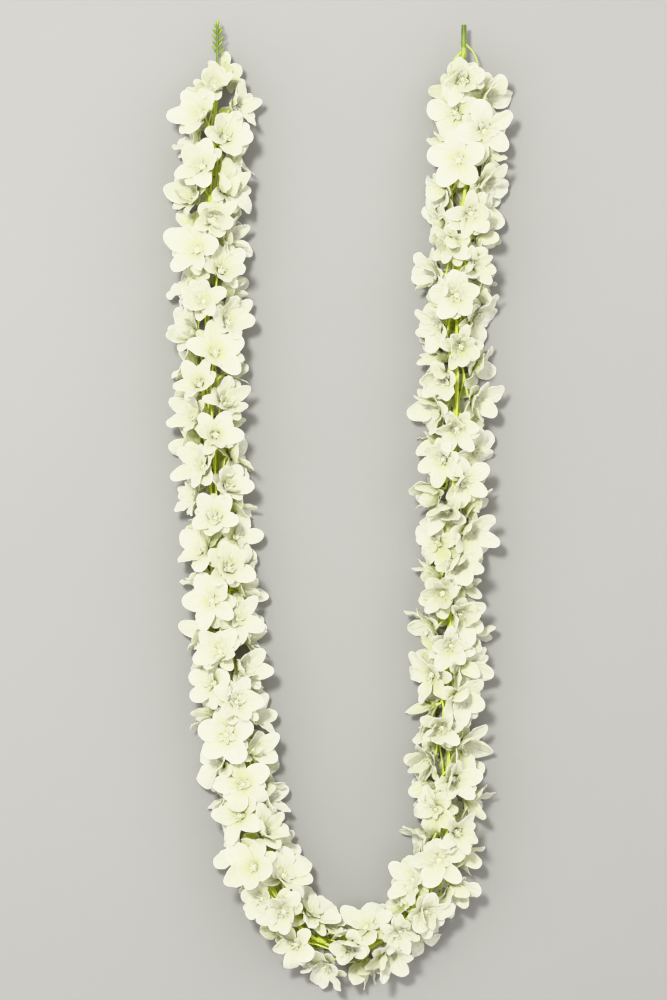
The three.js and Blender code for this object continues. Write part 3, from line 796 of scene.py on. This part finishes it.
def silk_material(name, colours, cloth, dye, dye_reach, dye_depth):
    """Woven polyester silk, stiffened, pressed hot and airbrushed at the root.

    To the eye it is matt and lets light through, with faint pressed veins and soft folds and a
    yellow-green root. Painted shade darkens the folds and veins to olive and greens the petals that
    lie deep in the strand, and a painted highlight whitens the heat-cut rim.
    """
    material, tree = new_material(name)
    uv = add_node(tree, "ShaderNodeUVMap", uv_map="UVMap")
    place = add_node(tree, "ShaderNodeSeparateXYZ", {0: uv})
    speckle = add_node(tree, "ShaderNodeTexNoise", {
        "Vector": add_node(tree, "ShaderNodeTexCoord").outputs["Object"],
        "Scale": per_metre(AIRBRUSH_BLOTCH), "Detail": 2.0,
    }).outputs["Fac"]
    known = {
        "u": place.outputs["X"], "v": place.outputs["Y"], "speckle": speckle,
        "dye reach": dye_reach, "dye depth": dye_depth, "veins across": VEINS_ACROSS,
        "threads along": THREADS_ALONG, "threads across": THREADS_ACROSS,
        "folds along": PETAL_LENGTH / FOLD_LENGTH, "folds across": PETAL_WIDTH / FOLD_WIDTH,
    }
    for name in ("shade", "phase", "deep"):
        known[name] = add_node(tree, "ShaderNodeAttribute", attribute_name=name).outputs["Fac"]
    work_out(tree, """
        long way = u * folds along
        short way = v * folds across
        own way = phase * 6
    """, known)
    fold = add_node(tree, "ShaderNodeTexNoise", {
        "Vector": add_node(tree, "ShaderNodeCombineXYZ", {
            "X": known["long way"], "Y": known["short way"], "Z": known["own way"],
        }),
        "Scale": 1.0, "Detail": 1.0,
    })
    known["fold"] = fold.outputs["Fac"]
    work_out(tree, """
        fold way = fold - 0.5
        fold side = abs fold way
        fold line = fold side * -12 + 1
        fold kept = fold line max 0
        fold soft = fold kept * fold kept
        from middle = v * 2 + -1
        side share = abs from middle
        rim way = side share max u
        rim = rim way ^ 9
        uneven = speckle * 0.16 + -0.08
        u uneven = u + uneven
        root share = u uneven / dye reach
        faded = 1 - root share
        root tint = faded max 0
        root soft = root tint ^ 1.5
        root kept = root soft * dye depth + shade
        deep tint = deep * deep
        deep kept = deep tint * 1.6
        v centred = v - 0.5
        fan = u * -0.45 + 1.25
        v fanned = v centred * fan
        vein way = v fanned * veins across
        vein wave = cos vein way
        vein line = vein wave ^ 5
        vein high = vein line max 0
        thread u = u * threads along
        thread v = v * threads across
        weft = sin thread u
        warp = sin thread v
        weave = weft * warp
        weave low = weave * 0.03
        vein relief = vein high * -0.35 + weave low
        rolling = fold * 3.8 + vein relief
        relief = fold soft * -0.5 + rolling
        vein stain = vein high * 0.05
        stain = fold soft * 0.1 + vein stain
        rim white = rim * 0.9
    """, known)
    # Over the cloth go the airbrushed root dye, a painted shade that greens the petals deep in the
    # strand, painted shade in the grooves of the folds and veins, and a painted highlight on the rim
    colour = cloth
    for share, paint in (
        ("root kept", dye), ("deep kept", colours.petal_root), ("stain", colours.petal_crease_shade),
        ("rim white", colours.petal_rim_highlight),
    ):
        colour = add_node(
            tree, "ShaderNodeMix", {"Factor": known[share], "A": colour, "B": paint}, data_type="RGBA"
        )
    bump = add_node(tree, "ShaderNodeBump", {
        "Height": known["relief"], "Strength": 0.85, "Distance": 0.0006,
    })
    face = add_node(tree, "ShaderNodeBsdfPrincipled", {
        "Base Color": colour, "Roughness": 0.72, "IOR": 1.5, "Specular IOR Level": 0.3,
        "Sheen Weight": 0.15, "Sheen Roughness": 0.5, "Normal": bump,
    })
    through = add_node(
        tree, "ShaderNodeMix", {"Factor": 0.3, "A": colour, "B": colours.petal_root}, data_type="RGBA"
    )
    behind = add_node(tree, "ShaderNodeBsdfTranslucent", {"Color": through})
    mixed = add_node(tree, "ShaderNodeMixShader", {0: 0.46, 1: face, 2: behind})
    add_node(tree, "ShaderNodeOutputMaterial", {"Surface": mixed})
    return material


def plastic_material(name, light, dark, pale, roughness, grain):
    """Injection-moulded polyethylene with a fine grain from the mould.

    To the eye it is satin and slightly waxy, unevenly dyed and paler where it is thin. On the
    stalks, the collars and the stem inside the strand the paleness is painted light, where they lie
    in shade.
    """
    material, tree = new_material(name)
    whiter = add_node(tree, "ShaderNodeAttribute", attribute_name="pale").outputs["Fac"]
    place = add_node(tree, "ShaderNodeTexCoord").outputs["Object"]
    cloud = add_node(tree, "ShaderNodeTexNoise", {
        "Vector": place, "Scale": per_metre(PLASTIC_CLOUD), "Detail": 3.0,
    })
    fine = add_node(tree, "ShaderNodeTexNoise", {
        "Vector": place, "Scale": per_metre(grain), "Detail": 2.0,
    })
    known = {
        "cloud": cloud.outputs["Fac"], "fine": fine.outputs["Fac"], "smoothest": roughness - 0.1,
    }
    work_out(tree, """
        contrast = cloud * 2.2 + -0.6
        share = contrast max 0
        share kept = share min 1
        gloss = fine * 0.2 + smoothest
    """, known)
    colour = add_node(
        tree, "ShaderNodeMix", {"Factor": known["share kept"], "A": light, "B": dark}, data_type="RGBA"
    )
    colour = add_node(
        tree, "ShaderNodeMix", {"Factor": whiter, "A": colour, "B": pale}, data_type="RGBA"
    )
    bump = add_node(tree, "ShaderNodeBump", {
        "Height": known["fine"], "Strength": 0.3, "Distance": 0.0002,
    })
    face = add_node(tree, "ShaderNodeBsdfPrincipled", {
        "Base Color": colour, "Roughness": known["gloss"], "IOR": 1.51, "Normal": bump,
        "Subsurface Weight": 0.1, "Subsurface Scale": 0.002,
    })
    add_node(tree, "ShaderNodeOutputMaterial", {"Surface": face})
    return material


def table_material(colour):
    """Board painted with a roller in matt emulsion: even, pale and dull, with a faint mottle."""
    material, tree = new_material("Matt painted board")
    place = add_node(tree, "ShaderNodeTexCoord").outputs["Object"]
    cloud = add_node(tree, "ShaderNodeTexNoise", {
        "Vector": place, "Scale": per_metre(ROLLER_MOTTLE), "Detail": 4.0,
    })
    known = work_out(tree, "mottle = cloud * 0.06 + 0.94", {"cloud": cloud.outputs["Fac"]})
    mixed = add_node(
        tree, "ShaderNodeMix",
        {"Factor": 1.0, "A": colour, "B": known["mottle"]}, data_type="RGBA", blend_type="MULTIPLY",
    )
    face = add_node(tree, "ShaderNodeBsdfPrincipled", {"Base Color": mixed, "Roughness": 0.9})
    add_node(tree, "ShaderNodeOutputMaterial", {"Surface": face})
    return material


@functools.cache
def finishes():
    colours = bpy.context.scene.garland_colours
    return {
        "front": silk_material(
            "Woven polyester silk front", colours, colours.petal, colours.throat, 0.5, 0.8
        ),
        # The back's greener white and deeper yellow-green root are partly its own colour and partly
        # painted shade, for backs that face down into the strand
        "back": silk_material(
            "Woven polyester silk back", colours, colours.petal_back, colours.petal_root, 0.8, 0.5
        ),
        "green": plastic_material(
            "Moulded polyethylene green", colours.stem, colours.stem_shade, colours.stem_pale_and_painted_light, 0.5,
            STEM_GRAIN,
        ),
        "eye": plastic_material(
            "Moulded polyethylene eye", colours.eye, colours.petal_root, colours.petal_back, 0.45,
            EYE_GRAIN,
        ),
    }


@functools.cache
def trees():
    return {"petal": petal_tree(), "tube": tube_tree(), "bud": bud_tree()}


# Pieces

TURN = 2 * math.pi
DEGREE = math.radians(1)

# Between which numbers a petal's looser values are drawn, in this order. Cup, curl, floor and veer
# are in millimetres, twist and phase in radians, and the rest are shares.
OUTER_SPANS = {
    "crimp": (0.8, 2.4), "phase": (0, TURN), "keel": (0.3, 1.3), "curl": (-2.6, 1.4),
    "floor": (0.35, 1.1), "pointed": (0, 0.15), "shade": (0, 0.06), "veer": (-2.4, 2.4),
}
# The lower petals draw more shade, a yellow-green tint that is partly random tone and partly painted
# shade for lying under the upper petals
LOWER_SPANS = {
    "twist": (-0.25, 0.25), "cup": (0.4, 2.4), "crimp": (0.6, 1.6), "phase": (0, TURN),
    "keel": (0.5, 1.3), "curl": (-2.5, 0.8), "floor": (0.35, 1.1), "pointed": (0, 0.3),
    "shade": (0.03, 0.14), "veer": (-3, 3),
}
INNER_SPANS = {
    "twist": (-0.35, 0.35), "cup": (0.4, 1.2), "crimp": (0.5, 1.0), "phase": (0, TURN),
    "curl": (-1.2, 0.8), "floor": (0.5, 1.2), "pointed": (0, 0.4), "shade": (0.04, 0.14),
    "veer": (-1.5, 1.5),
}
LOBE_SPANS = {"phase": (0, 6), "curl": (-1.5, 0.2), "veer": (-0.8, 0.8)}

# How much of its width a petal is cut to, how far it strays, and how deep a folded one is creased
WIDTH_CUTS = (0.84, 0.95, 1.03, 1.12)
STRAYS = (-1, 0, 0, 0, 1, 1.6)
STRAY_FOLD = 30
FOLDED_SHARE = 0.25
FOLDED_KEEL = {"keel": (2.2, 3.6)}

# How full a bloom's inner petals are, and the share of lower petals that is missing
FULLNESS = (0.55, 0.75, 1.0, 1.3)
LOWER_MISSING = 0.3

# How far in front of a bloom's throat its lower and inner petals and its lobes are set
LOWER_SET = -1.4
INNER_SET = 0.8
LOBE_SET = -1.6


def petal_row(pose, sizes, angle, forward, spans, **shape):
    """One petal's values for the petal tree: its bloom's, its own shape, and what is drawn."""
    shape |= {name: pose["draws"].uniform(*span) for name, span in spans.items()}
    units = dict.fromkeys(("ring", "length", "half", "cup", "curl", "floor", "veer"), MM)
    units |= {"rise": DEGREE, "flat": DEGREE, "crimp": sizes.wave, "keel": sizes.keel}
    return {
        "place": pose["throat"] * MM,
        "throat": (pose["throat"] + pose["normal"] * forward) * MM,
        "outward": way_out(pose, angle),
        "upward": pose["normal"],
        "stem point": pose["origin"] * MM,
        "stem way": pose["along"],
        "tint reach": PAINTED_SHADE_WITHIN * (1 - 0.5 * pose["youth"]) * MM,
    } | {name: value * units.get(name, 1) for name, value in shape.items()}


def outer_petals(pose, sizes):
    """The five silk petals of a bloom, as rows of values for the petal tree."""
    rng = pose["draws"]
    rows = []
    narrow = rng.uniform(0, 0.32)
    disorder = rng.uniform(0.6, 1.7)
    for petal in pose["petals"]:
        bend = petal["bend"]
        half = petal_half_width(pose, petal, bend) * WIDEST_FACTOR * rng.choice(WIDTH_CUTS)
        folded = rng.random() < FOLDED_SHARE
        stray = rng.choice(STRAYS)
        row = petal_row(
            pose, sizes, petal["angle"], 0, OUTER_SPANS | FOLDED_KEEL if folded else OUTER_SPANS,
            ring=PETAL_RING * pose["size"],
            length=petal["length"] * rng.uniform(0.9, 1.06),
            half=half,
            rise=pose["rise"] + BEND_AT_ROOT * bend + rng.uniform(-5, 5),
            flat=petal["flat"] + bend + disorder * (rng.uniform(-13, 13) + STRAY_FOLD * stray),
            twist=petal["twist"] + rng.uniform(-0.3, 0.3) * disorder * (1 + abs(stray)),
            cup=PETAL_CUP * (half / PETAL_HALF_WIDTH) ** 2 + rng.uniform(-0.8, 1.0),
        )
        row["pointed"] += narrow
        row["veer"] *= disorder
        rows.append(row)
    return rows


def lower_petals(pose, sizes):
    """The second, lower disc of five petals, seen between the upper ones."""
    rng = pose["draws"]
    rows = []
    for i, petal in enumerate(pose["petals"]):
        after = pose["petals"][(i + 1) % PETALS]
        bend = min(petal["bend"], after["bend"]) - rng.uniform(4, 18)
        angle = petal["angle"] + math.pi / PETALS + rng.uniform(-0.12, 0.12)
        length = PETAL_LENGTH * pose["size"] * rng.uniform(0.7, 0.95)
        if rng.random() < LOWER_MISSING:
            continue
        rows.append(petal_row(
            pose, sizes, angle, LOWER_SET, LOWER_SPANS,
            ring=PETAL_RING * pose["size"] * 0.8,
            length=length,
            half=PETAL_HALF_WIDTH * pose["size"] * rng.uniform(0.62, 0.85),
            rise=pose["rise"] - 6 + BEND_AT_ROOT * bend,
            flat=petal["flat"] - 4 + bend,
        ))
    return rows


def inner_petals(pose, sizes):
    """The small ruffled petals round the eye."""
    rng = pose["draws"]
    rows = []
    base = pose["petals"][0]["angle"] + math.pi / PETALS
    opening = rng.uniform(-14, 12)
    fullness = rng.choice(FULLNESS)
    for i in range(PETALS):
        angle = base + TURN * i / PETALS + rng.uniform(-0.3, 0.3)
        length = sizes.inner_length / MM * pose["size"] * fullness * rng.uniform(0.6, 1.15)
        rows.append(petal_row(
            pose, sizes, angle, INNER_SET, INNER_SPANS,
            ring=1.1 * pose["size"],
            length=length,
            half=length * rng.uniform(0.26, 0.4),
            rise=52 + opening + rng.uniform(-8, 8),
            flat=12 + opening + rng.uniform(-20, 20),
            keel=0.4,
        ))
    return rows


def calyx_lobes(pose, sizes):
    """The green star behind a bloom, one lobe between each two petals."""
    base = pose["petals"][0]["angle"] + math.pi / PETALS
    rows = []
    for i in range(PETALS):
        row = petal_row(
            pose, sizes, base + TURN * i / PETALS, LOBE_SET, LOBE_SPANS,
            ring=2.2 * pose["size"],
            length=sizes.calyx_lobe / MM * pose["size"] * pose["draws"].uniform(0.85, 1.1),
            half=1.7,
            rise=pose["rise"] - 2,
            flat=pose["petals"][i]["flat"] - 8,
            twist=0, cup=0.5, floor=0.3, pointed=1, shade=0,
        )
        rows.append(row | {"crimp": 0.15 * MM, "keel": 0.3 * MM})
    return rows


# Where two stalks of the first whorl leave the stem, by bloom, in millimetres from its root end
BARE_STALKS = {2: 17, 3: 24}

# A calyx tube's radius at shares of its way to the throat, and a collar's swell along the stem
CALYX_PROFILE = ((0.22, 1.15), (0.5, 1.75), (0.75, 2.3), (0.95, 2.6), (1.08, 1.9))
COLLAR_PROFILE = ((-5.0, 0.05), (-3.4, 0.45), (-1.6, 1.05), (0.6, 1.3), (2.4, 1.1), (4.6, 0.4))
STALK_POINTS = 9
LOWEST_STALK = 1.2


def stalk_line(pose, sizes):
    """Points and radii of a bloom's stalk and calyx tube, from its collar to its throat."""
    origin, along, hole = collar_frame(pose["whorl"])
    flat = unit(pose["outward"] - along * pose["outward"].dot(along))
    root = origin + flat * (hole + COLLAR_WALL * 0.75) + along * (COLLAR_LENGTH / 2 - STALK_SINK)
    top = pose["throat"] - pose["normal"] * CALYX_DEPTH * pose["size"]
    line = top - root
    reach = np.linalg.norm(line)
    sway = unit(np.cross(line, pose["normal"]) + 1e-6) * pose["draws"].uniform(-0.26, 0.26) * reach
    bow = 0.2
    if pose["bloom"] in BARE_STALKS:
        origin, _, _, side = stem_frame(BARE_STALKS[pose["bloom"]])
        flat = side * np.sign(pose["outward"].dot(side))
        root = origin + flat * STEM_ROOT_RADIUS * 0.6
        line = top - root
        bow, sway = 0.42, 0
    first = root + line * 0.33 + flat * bow * reach + sway
    second = root + line * 0.7 - pose["normal"] * 0.08 * reach - sway * 0.4
    points, radii = [], []
    for t in np.linspace(0, 1, STALK_POINTS):
        point = root * (1 - t) ** 3 + first * 3 * t * (1 - t) ** 2
        point = point + second * 3 * t * t * (1 - t) + top * t**3
        points.append(point)
        radii.append(sizes.stalk_radius / MM * (1.25 - 0.35 * math.sin(math.pi * min(t * 1.2, 1))))
    for share, radius in CALYX_PROFILE:
        points.append(top + (pose["throat"] - top) * share)
        radii.append(radius * pose["size"])
    for point in points:
        point[2] = max(point[2], LOWEST_STALK)
    # The paleness given is painted light: high for stalks in the strand's shade, lower for the first
    # whorl's bare stalks
    return points, radii, 0.95 if pose["whorl"] else 0.6


def collar_line(whorl):
    """Points and radii of the short moulded collar that carries a whorl's stalks."""
    origin, along, hole = collar_frame(whorl)
    full = 1 if whorl else 0.5
    points = [origin + along * place for place, _ in COLLAR_PROFILE]
    radii = [hole - 0.5 + (swell + 0.5) * full for _, swell in COLLAR_PROFILE]
    # The paleness given is painted light, lower for the first whorl's bare collar
    return points, radii, 0.7 if whorl else 0.3


def lines_mesh(name, lines):
    """A mesh of edges along each line, with the radius at each point."""
    rows, edges = [], []
    # Each line's paleness is stored too; on the stem, stalks and collars it is painted light
    for points, radii, pale in lines:
        start = len(rows)
        tints = np.broadcast_to(pale, len(points))
        for point, radius, tint in zip(points, radii, tints):
            rows.append({"place": point * MM, "radius": radius * MM, "pale": tint})
        edges += [(i, i + 1) for i in range(start, len(rows) - 1)]
    return points_mesh(name, rows, edges)


# The stem's steps in millimetres, and how its moulded joint at the root end swells and narrows
ROD_STEP = 2.5
JOINT_AT = (0, 12, 17, 21)
JOINT_SWELL = (1.1, 1.15, 1.3, 0.85)


def bud_row(place, axis, girth, end_pale):
    """One bud's values for the bud tree, from millimetres."""
    girth = np.array(girth) * MM
    return {"place": place * MM, "axis": axis, "girth": girth, "end_pale": end_pale}


class GARLAND_OT_stem(bpy.types.Operator):
    """Builds the long moulded stem with its bare budded tip"""

    bl_idname = "garland.stem"
    bl_label = "Stem"

    def execute(self, context):
        length = stem_length()
        distances = np.arange(0, length, ROD_STEP).tolist() + [length]
        points = [stem_frame(d)[0] for d in distances]
        joint = [np.interp(d, JOINT_AT, JOINT_SWELL) for d in distances]
        radii = [stem_radius(d) * j * (1 + 0.05 * math.sin(d / 7)) for d, j in zip(distances, joint)]
        # Inside the strand the rod is painted paler, as painted light where it lies in the blooms'
        # shade; its bare ends keep the darker green
        ends = [min(d / FIRST_BLOOM_AT, (length - d) / YOUNG_FROM, 1) for d in distances]
        rod = lines_mesh("stem_rod", [(points, radii, [0.85 * end**2 for end in ends])])
        origin, along, _, _ = stem_frame(length)
        girth = (TIP_BUD_RADIUS * 0.72, TIP_BUD_RADIUS * 0.72, TIP_BUD_LENGTH * 0.5)
        rows = [bud_row(origin + along * TIP_BUD_LENGTH * 0.2, along, girth, 0.4)]
        for pair in range(TIP_PEG_PAIRS):
            for hand in (-1, 1):
                at = length - TIP_PEG_SPACING * (pair + 0.9 + TIP_PEG_STAGGER * hand)
                origin, along, up, side = stem_frame(at)
                turn = math.radians(TIP_PEG_TURN * (pair % 2))
                lean = math.radians(TIP_PEG_LEAN - 4 + 3 * hand * (-1) ** pair)
                long = TIP_PEG_LENGTH * (0.62 if pair == 0 else 0.95 + 0.05 * hand)
                outward = side * hand * math.cos(turn) + up * math.sin(turn) * hand
                way = along * math.cos(lean) + outward * math.sin(lean)
                girth = (TIP_PEG_RADIUS * 0.9, TIP_PEG_RADIUS * 0.7, long / 2)
                rows.append(bud_row(origin + way * long / 2, way, girth, 0.25))
        green = [finishes()["green"]]
        buds = points_mesh("stem_buds", rows)
        piece = joined("stem_and_tip", [
            grown_mesh("stem_rod", rod, "tube", {"Sides": 12}, green),
            grown_mesh("stem_buds", buds, "bud", {"Segments": 12, "Rings": 10, "Taper": -0.1}, green),
        ])
        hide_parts("stem")
        return {"FINISHED"}


# How thick the calyx lobes and the inner petals are, in millimetres
LOBE_WALL = 0.4
INNER_CLOTH = 0.3

# The threads in a bloom's throat, and how far in front of it its eye stands, in millimetres
THREADS = 3
THREAD_RADII = (0.3, 0.26, 0.24)
EYE_SET = 1.8


def spray_piece(whorl, ending, meshes_of):
    """One piece of a spray, made of the meshes that its blooms give."""
    name = f"{spray_name(whorl)}_{ending}"
    blooms = [b for b in placed_blooms() if b["whorl"] == whorl]
    return joined(name, meshes_of(name, whorl, blooms, bpy.context.scene.garland_sizes))


def green_meshes(name, whorl, blooms, sizes):
    green = [finishes()["green"]]
    tubes = lines_mesh(name, [stalk_line(b, sizes) for b in blooms])
    lobes = points_mesh(name, [row for b in blooms for row in calyx_lobes(b, sizes)])
    collar = lines_mesh(name, [collar_line(whorl)])
    return [
        grown_mesh(name, tubes, "tube", {"Sides": 6}, green),
        grown_mesh(name, collar, "tube", {"Sides": 12}, green),
        grown_mesh(name, lobes, "petal", {"Rows": 4, "Columns": 3}, green, LOBE_WALL * MM),
    ]


def petal_meshes(name, whorl, blooms, sizes):
    cloths = [finishes()["front"], finishes()["back"]]
    rows = [row for b in blooms for row in outer_petals(b, sizes)]
    rows += [row for b in blooms for row in lower_petals(b, sizes)]
    counts = {"Rows": sizes.petal_rows, "Columns": sizes.petal_columns}
    return [grown_mesh(name, points_mesh(name, rows), "petal", counts, cloths, sizes.cloth)]


def centre_meshes(name, whorl, blooms, sizes):
    cloths = [finishes()["front"], finishes()["back"]]
    eye = [finishes()["eye"]]
    rows = [row for b in blooms for row in inner_petals(b, sizes)]
    eyes, threads = [], []
    for b in blooms:
        rng, throat, normal = b["draws"], b["throat"], b["normal"]
        radius = sizes.eye_radius / MM * b["size"]
        cushion = np.array([3.5, 3.5, 1.5]) * b["size"]
        eyes.append(bud_row(throat + normal * 0.4, normal, cushion, 1.0))
        eyes.append(bud_row(throat + normal * EYE_SET, normal, [radius] * 3, 0.2))
        for i in range(THREADS):
            out = way_out(b, TURN * (i + rng.uniform(-0.2, 0.2)) / THREADS)
            base = throat + normal * EYE_SET + out * 0.6
            end = base + normal * rng.uniform(2.6, 4.0) + out * rng.uniform(0.9, 1.8)
            threads.append(([base, (base + end) / 2 + normal * 0.3, end], THREAD_RADII, 0.8))
            eyes.append(bud_row(end, normal + out, (0.5, 0.5, 0.8), 0.9))
    petals, beads = points_mesh(name, rows), points_mesh(name, eyes)
    return [
        grown_mesh(name, petals, "petal", {"Rows": 5, "Columns": 5}, cloths, INNER_CLOTH * MM),
        grown_mesh(name, beads, "bud", {"Segments": 8, "Rings": 5}, eye),
        grown_mesh(name, lines_mesh(name, threads), "tube", {"Sides": 4}, eye),
    ]


class GARLAND_OT_greens(bpy.types.Operator):
    """Builds each spray's collar, stalks and calyxes"""

    bl_idname = "garland.greens"
    bl_label = "Collars, Stalks and Calyxes"

    def execute(self, context):
        for whorl in range(WHORLS):
            piece = spray_piece(whorl, "greens", green_meshes)
            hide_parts(spray_name(whorl))
        return {"FINISHED"}


class GARLAND_OT_petals(bpy.types.Operator):
    """Builds each spray's silk petals"""

    bl_idname = "garland.petals"
    bl_label = "Silk Petals"

    def execute(self, context):
        for whorl in range(WHORLS):
            piece = spray_piece(whorl, "petals", petal_meshes)
            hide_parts(spray_name(whorl))
        return {"FINISHED"}


class GARLAND_OT_centres(bpy.types.Operator):
    """Builds the small inner petals and the eye of each bloom"""

    bl_idname = "garland.centres"
    bl_label = "Inner Petals and Eyes"

    def execute(self, context):
        for whorl in range(WHORLS):
            piece = spray_piece(whorl, "centres", centre_meshes)
            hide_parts(spray_name(whorl))
        return {"FINISHED"}


# Each soft light's name, place, size in metres and power in watts, all aimed at the middle
LIGHTS = (
    ("Softbox above", (-0.5, 0.7, 2.4), 0.35, 77),
    ("Softbox left", (-2.2, -0.6, 1.7), 1.6, 12),
    ("Softbox right", (2.2, 0.9, 1.6), 1.6, 12),
)
TABLE_SIZE = 12
TABLE_DROP = 0.0002
SKY_STRENGTH = 1.3

# The camera's height over the blooms, how much it sees there on the picture's longer side, and its
# place, in metres
CAMERA_HEIGHT = 3.0
SEEN_LENGTH = 0.920
CAMERA_PLACE = (-5.2 * MM, 4.3 * MM, CAMERA_HEIGHT + 25 * MM)
SENSOR_WIDTH = 36


class GARLAND_OT_stage(bpy.types.Operator):
    """Lays the pale table and sets the soft lights and the camera above the garland"""

    bl_idname = "garland.stage"
    bl_label = "Table, Lights and Camera"

    def execute(self, context):
        scene = context.scene
        bpy.ops.mesh.primitive_plane_add(size=TABLE_SIZE, location=(0, 0, -TABLE_DROP))
        table = context.active_object
        table.name = "table"
        table.data.materials.append(table_material(scene.garland_colours.table))
        for name, place, size, power in LIGHTS:
            light = bpy.data.lights.new(name, "AREA")
            light.size = size
            light.energy = power
            lamp = new_object(name, light)
            lamp.location = place
            lamp.rotation_euler = (-Vector(place)).to_track_quat("-Z", "Y").to_euler()
        world = bpy.data.worlds.new("Studio")
        world.use_nodes = True
        world.node_tree.nodes.clear()
        sky = add_node(world.node_tree, "ShaderNodeBackground", {
            "Color": linear("#fefbfb"), "Strength": SKY_STRENGTH,
        })
        add_node(world.node_tree, "ShaderNodeOutputWorld", {"Surface": sky})
        scene.world = world
        scene.view_settings.view_transform = "Khronos PBR Neutral"
        scene.view_settings.look = "None"

        camera = bpy.data.cameras.new("Overhead camera")
        camera.sensor_width = SENSOR_WIDTH
        camera.lens = SENSOR_WIDTH * CAMERA_HEIGHT / SEEN_LENGTH
        camera.clip_end = 50
        scene.camera = new_object("Overhead camera", camera)
        scene.camera.location = CAMERA_PLACE
        return {"FINISHED"}


class GARLAND_PT_panel(bpy.types.Panel):
    bl_label = "Silk Flower Garland"
    bl_idname = "GARLAND_PT_panel"
    bl_space_type = "VIEW_3D"
    bl_region_type = "UI"
    bl_category = "Garland"

    def draw(self, context):
        layout = self.layout
        for group in (context.scene.garland_sizes, context.scene.garland_colours):
            column = layout.column(align=True)
            for name in group.__annotations__:
                column.prop(group, name)
        column = layout.column(align=True)
        for operator in STEPS:
            column.operator(operator.bl_idname)


STEPS = (
    GARLAND_OT_stem,
    GARLAND_OT_greens,
    GARLAND_OT_petals,
    GARLAND_OT_centres,
    GARLAND_OT_stage,
)
CLASSES = (GarlandSizes, GarlandColours, *STEPS, GARLAND_PT_panel)


def register():
    for item in CLASSES:
        bpy.utils.register_class(item)
    bpy.types.Scene.garland_sizes = PointerProperty(type=GarlandSizes)
    bpy.types.Scene.garland_colours = PointerProperty(type=GarlandColours)


def unregister():
    del bpy.types.Scene.garland_colours
    del bpy.types.Scene.garland_sizes
    for item in reversed(CLASSES):
        bpy.utils.unregister_class(item)


def main():
    register()
    bpy.ops.garland.stem()
    bpy.ops.garland.greens()
    bpy.ops.garland.petals()
    bpy.ops.garland.centres()
    bpy.ops.garland.stage()


if __name__ == "__main__":
    main()
